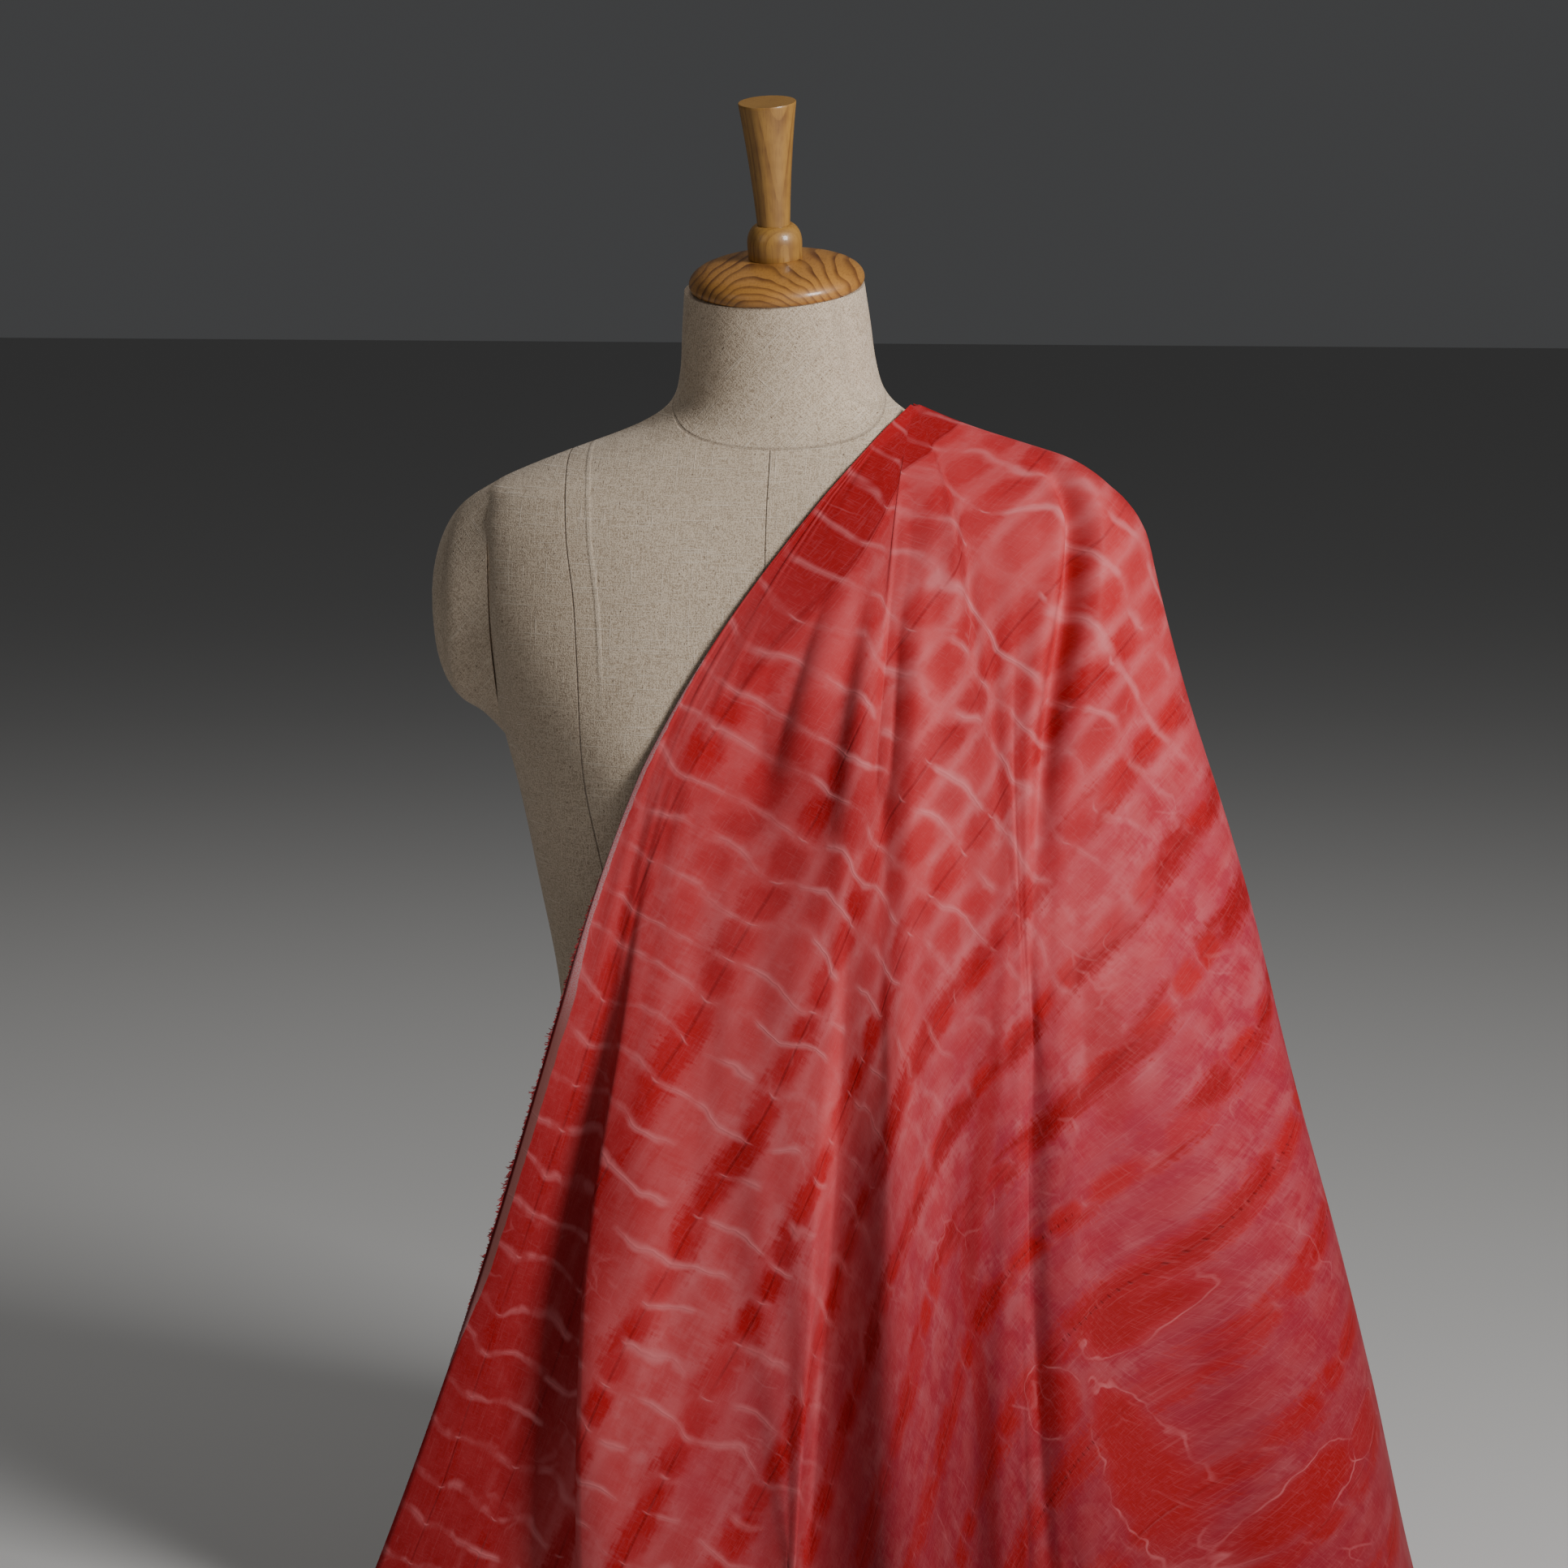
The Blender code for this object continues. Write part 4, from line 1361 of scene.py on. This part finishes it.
    def fall_line(self, tree: BVHTree, share: float, hem: np.ndarray, outward: Vector) -> np.ndarray:
        """One line of the cloth from the neck point over the form to the hem.

        Args:
            tree: The form.
            share: Share of the spread.
            hem: Where it meets the hem.
            outward: The way that the cloth faces there.

        Returns:
            Points about a fall step apart.
        """
        sideways = Vector((-outward.y, outward.x, 0.0))
        neck = Vector(self.neck_point)
        end = Vector((hem[0], hem[1], self.hem_z))
        bow_share = (1.0 - share) ** self.bow_fade * self.bow if outward.y < 0 else 0.0

        def lateral(z: float) -> float:
            """Place across the outward way at a height.

            Args:
                z: The height.

            Returns:
                The place.
            """
            down = (neck.z - z) / (neck.z - self.hem_z)
            straight = neck.dot(sideways) * (1 - down) + end.dot(sideways) * down
            swing = ((down / self.bow_peak) * math.exp(1.0 - down / self.bow_peak)) ** self.bow_power
            return straight - bow_share * swing * (1.0 - down**self.bow_end_power)

        supports = []
        for z in np.linspace(neck.z, self.hem_z, self.fall_samples)[1:-1]:
            start = sideways * lateral(z) + outward * self.outside + Vector((0.0, 0.0, z))
            hit, normal, _, _ = tree.ray_cast(start, -outward)
            if hit is None:
                continue
            tip = self.tip_lift * max(outward.x, 0.0) * math.exp(-(((z - self.tip_z) / self.tip_band) ** 2))
            lifted = hit + normal * (self.clearance_at(z) + self.cad_half + tip)
            if self.hem_z < lifted.z < neck.z:
                supports.append((lifted.z, lifted.dot(outward)))
        supports.sort(key=lambda point: -point[0])
        line = self.taut_heights([(neck.z, neck.dot(outward)), *supports, (self.hem_z, end.dot(outward))])
        dense = []
        for (z0, d0), (z1, d1) in zip(line, line[1:]):
            steps = max(1, int(math.hypot(z1 - z0, d1 - d0) / self.fall_step))
            for i in range(steps):
                z, d = z0 + (z1 - z0) * i / steps, d0 + (d1 - d0) * i / steps
                dense.append(sideways * lateral(z) + outward * d + Vector((0.0, 0.0, z)))
        dense.append(end)
        return np.array(dense)

    def drape_grid(self, tree: BVHTree, shares: np.ndarray, falls: np.ndarray) -> tuple[np.ndarray, np.ndarray]:
        """Middle surface before its folds.

        Args:
            tree: The form.
            shares: Shares of the spread, one for each fall line.
            falls: Parts of the fall, one for each row.

        Returns:
            Its points, and how far along the cloth each is from the neck point.
        """
        table = [(point.share, point.x, point.y) for point in self.hem_line]
        hems = through_rows(table, shares)
        nudge = 0.5 / self.base_lines
        runs = through_rows(table, shares + nudge) - through_rows(table, shares - nudge)
        grid = np.zeros((len(falls), len(shares), 3))
        reach = np.zeros((len(falls), len(shares)))
        for k, (share, hem, run) in enumerate(zip(shares, hems, runs)):
            outward = Vector((run[1], -run[0], 0.0)).normalized()
            line = self.fall_line(tree, share, hem, outward)
            lengths = np.concatenate(([0.0], np.cumsum(np.linalg.norm(np.diff(line, axis=0), axis=1))))
            reach[:, k] = self.neck_rounding + (lengths[-1] - self.neck_rounding) * falls
            grid[:, k] = read_path(reach[:, k], lengths, line)
        return grid, reach

    def eased(self, grid: np.ndarray, falls: np.ndarray) -> np.ndarray:
        """Soften the ridges that fan out from the neck point, where a cloth this thin would round them.

        Args:
            grid: The middle surface.
            falls: Parts of the fall, one for each row.

        Returns:
            The softened surface.
        """
        weight = (1.0 - smoothstep(self.ease_begins, self.ease_ends, falls))[:, None, None]
        soft = grid.copy()
        for _ in range(self.ease_passes):
            soft[:, 1:-1] = (soft[:, :-2] + 2 * soft[:, 1:-1] + soft[:, 2:]) / 4
        return grid + (soft - grid) * weight

    def lane_shares(self, falls: np.ndarray, columns: np.ndarray) -> np.ndarray:
        """Share of the spread at every row and column.

        Args:
            falls: Parts of the fall.
            columns: Columns of the sheet.

        Returns:
            One row of shares for each part of the fall.
        """
        steer = np.stack([(2 * falls - 1) * (falls - 1), 4 * falls * (1 - falls), falls * (2 * falls - 1)])
        paths = np.array([[lane.top, lane.middle, lane.hem] for lane in self.lanes]) @ steer
        stops = [lane.column for lane in self.lanes]
        return through_rows([(stop, *path) for stop, path in zip(stops, paths)], columns).T

    def along_lanes(self, grid: np.ndarray, shares: np.ndarray, wanted: np.ndarray) -> np.ndarray:
        """Read a grid of fall lines at other shares, row by row."""
        return np.stack([read_path(want, shares, row) for row, want in zip(grid, wanted)])

    def grid_normals(self, grid: np.ndarray) -> np.ndarray:
        """Outward unit normals of a grid of points."""
        normals = np.cross(np.gradient(grid, axis=0), np.gradient(grid, axis=1))
        return normals / np.linalg.norm(normals, axis=2, keepdims=True)

    def folded(self, grid: np.ndarray, falls: np.ndarray, columns: np.ndarray, reach: np.ndarray) -> np.ndarray:
        """Fold the middle surface.

        Args:
            grid: The surface.
            falls: Parts of the fall.
            columns: Columns of the sheet.
            reach: Distance from the neck point along the cloth.

        Returns:
            The folded surface.
        """
        relief = np.zeros(grid.shape[:2])
        lean = np.zeros(grid.shape[:2])
        for fold in self.folds:
            grow = smoothstep(fold.begins, fold.full, falls)
            fade = 1.0 - smoothstep(fold.ends - self.fold_fade, fold.ends, falls)
            off = columns - fold.column
            across = off / np.where(off < 0, fold.left, fold.right)
            bump = np.outer(grow * fade, np.exp(-np.abs(across) ** fold.square))
            relief += fold.rise * bump
            lean += fold.lean * bump
        for (row, col), far in np.ndenumerate(reach):
            spot = Vector((columns[col] * self.ripples_across, far * self.ripples_down, self.ripple_layer))
            relief[row, col] += self.ripple * noise.noise(spot) * min(far / self.ripple_begins, 1.0)
        normals = self.grid_normals(grid)
        sideways = np.gradient(grid, axis=1)
        sideways /= np.linalg.norm(sideways, axis=2, keepdims=True)
        return grid + normals * relief[:, :, None] + sideways * lean[:, :, None]

    def clear_of_form(self, tree: BVHTree, points: np.ndarray) -> np.ndarray:
        """Push the surface out until it keeps its clearance to the form.

        Args:
            tree: The form.
            points: The surface.

        Returns:
            The surface, clear of the form.
        """
        for row, col in np.ndindex(points.shape[:2]):
            for _ in range(self.push_passes):
                point = Vector(points[row, col])
                near, skin_normal, _, _ = tree.find_nearest(point)
                lack = self.clearance_at(point.z) + self.cad_half - (point - near).dot(skin_normal)
                if lack <= 0:
                    break
                points[row, col] += np.array(skin_normal) * lack
        return points

    def flat_places(self, wanted: np.ndarray, reach: np.ndarray) -> np.ndarray:
        """Where each point lies on the flat cloth: along the selvage and in from it.

        Args:
            wanted: Share of the spread at each point.
            reach: Distance from the neck point at each point.

        Returns:
            Two distances for each point.
        """
        table = [(row.share, row.near, row.far) for row in self.spread]
        angles = np.radians(through_rows(table, wanted.ravel()))
        near, far = angles[:, 0].reshape(wanted.shape), angles[:, 1].reshape(wanted.shape)
        lower = np.clip((reach - self.near_reach) / (self.far_reach - self.near_reach), 0.0, 1.0)
        angle = near + (far - near) * lower
        return np.stack([reach * np.cos(angle), reach * np.sin(angle)], axis=2)

    def sheet_mesh(self, points: np.ndarray, places: np.ndarray) -> Piece:
        """Make the sheet's mesh, with its flat places as a UV map, and give it its thickness.

        Args:
            points: The middle surface.
            places: The flat places.

        Returns:
            The sheet.
        """
        rows, columns = points.shape[:2]
        index = np.arange(rows * columns).reshape(rows, columns)
        faces = np.stack([index[:-1, :-1], index[1:, :-1], index[1:, 1:], index[:-1, 1:]], axis=2).reshape(-1, 4)
        mesh = bpy.data.meshes.new("silk_length")
        mesh.from_pydata(points.reshape(-1, 3).tolist(), [], faces.tolist())
        layer = mesh.uv_layers.new(name="flat")
        corners = np.empty(len(mesh.loops), dtype=np.int32)
        mesh.loops.foreach_get("vertex_index", corners)
        layer.data.foreach_set("uv", places.reshape(-1, 2)[corners].astype(np.float32).ravel())
        piece = put_in_scene("silk_length", mesh)
        select_only(piece)
        bpy.ops.object.shade_smooth()
        body = piece.modifiers.new("body", "SOLIDIFY")
        body.thickness = self.thickness
        body.offset = 0.0
        bpy.ops.object.modifier_apply(modifier=body.name)
        return piece


@dataclass
class Fringe:
    """Loose thread ends along the frayed part of the free edge, in one mesh of slim ribbons."""

    begins: float = 0.400
    ends: float = 0.740
    pitch: float = 0.0006
    length: float = 0.0048
    width: float = 0.0010
    clump: float = 0.009
    rise: float = 0.0004
    sag: float = 0.55
    droop: tuple[float, float] = (0.2, 1.6)
    forward: tuple[float, float] = (-0.5, 0.35)
    lengths: tuple[float, float] = (0.35, 1.15)
    curls: tuple[float, float] = (-0.5, 0.5)
    fade_in: float = 0.03
    fade_out: float = 0.10
    least_fade: float = 0.1
    tuft: float = 0.55
    tuft_sway: float = 0.90
    least_tuft: float = 0.40
    sections: tuple[tuple[float, float], ...] = ((-0.15, 1.0), (0.5, 0.8), (1.0, 0.35))
    seed: int = 7
    colour: Colour = (0.14, 0.005, 0.007, 1.0)
    tip_colour: Colour = (0.30, 0.012, 0.016, 1.0)
    roughness: float = 0.7

    def build(self, edge: np.ndarray, inner: np.ndarray, reach: np.ndarray) -> Piece:
        """Lay the thread ends along the edge.

        Args:
            edge: Points along the free edge.
            inner: Points of the next column in.
            reach: Distance of each from the neck point.

        Returns:
            The fringe.
        """
        chance = np.random.default_rng(self.seed)
        points, faces = [], []
        for at in np.arange(self.begins, min(self.ends, reach[-1]), self.pitch):
            root, back = read_path(at, reach, edge), read_path(at, reach, inner)
            out = (root - back) / np.linalg.norm(root - back)
            out[2] -= self.sag * chance.uniform(*self.droop)
            out[1] += chance.uniform(*self.forward)
            out /= np.linalg.norm(out)
            side = np.cross(out, (0.0, 1.0, 0.0))
            side /= np.linalg.norm(side)
            lift = np.cross(side, out)
            fade = min(1.0, (at - self.begins) / self.fade_in, (self.ends - at) / self.fade_out)
            tuft = self.tuft + self.tuft_sway * noise.noise(Vector((at / self.clump, 0.0, 0.5)))
            length = self.length * chance.uniform(*self.lengths)
            length *= max(fade, self.least_fade) * max(tuft, self.least_tuft)
            curl = chance.uniform(*self.curls)
            start = len(points)
            for share, slim in self.sections:
                middle = root + out * length * share + side * curl * length * share * share
                half = self.width * slim / 2
                points += [middle - side * half, middle + lift * self.rise * slim, middle + side * half]
            for ring in range(2):
                base = start + 3 * ring
                for k in range(3):
                    nxt = (k + 1) % 3
                    faces.append((base + k, base + 3 + k, base + 3 + nxt, base + nxt))
            faces += [(start, start + 1, start + 2), (start + 8, start + 7, start + 6)]
        mesh = bpy.data.meshes.new("silk_fringe")
        mesh.from_pydata([tuple(point) for point in points], [], faces)
        piece = put_in_scene("silk_fringe", mesh)
        select_only(piece)
        bpy.ops.object.mode_set(mode="EDIT")
        bpy.ops.mesh.select_all(action="SELECT")
        bpy.ops.mesh.normals_make_consistent(inside=False)
        bpy.ops.object.mode_set(mode="OBJECT")
        return settle(piece, "silk_fringe", self.finish("silk_thread_ends"), "silk", "silk")

    def finish(self, name: str) -> bpy.types.Material:
        """Make the thread ends' material.

        Args:
            name: Name of the material.

        Returns:
            The material.
        """
        material, bench, shader = new_material(name)
        cloud = bench.noise(bench.here(), 300.0, 2.0)
        colour = bench.blend(bench.ease(cloud, 0.40, 0.65), self.colour, self.tip_colour)
        bench.feed(shader.inputs["Base Color"], colour)
        bench.feed(shader.inputs["Roughness"], self.roughness)
        return material


def main() -> None:
    """Build the camera and studio, then the form, its fittings and the silk."""
    logging.basicConfig(level=logging.INFO, format="%(name)s: %(message)s")
    Viewpoint().place()
    Studio().build()
    threads, growth = thread_group(), growth_group()
    DressForm().build(LinenFinish(threads))
    NeckFittings().build(growth)
    SilkLength().build(SilkFinish(threads))


if __name__ == "__main__":
    main()
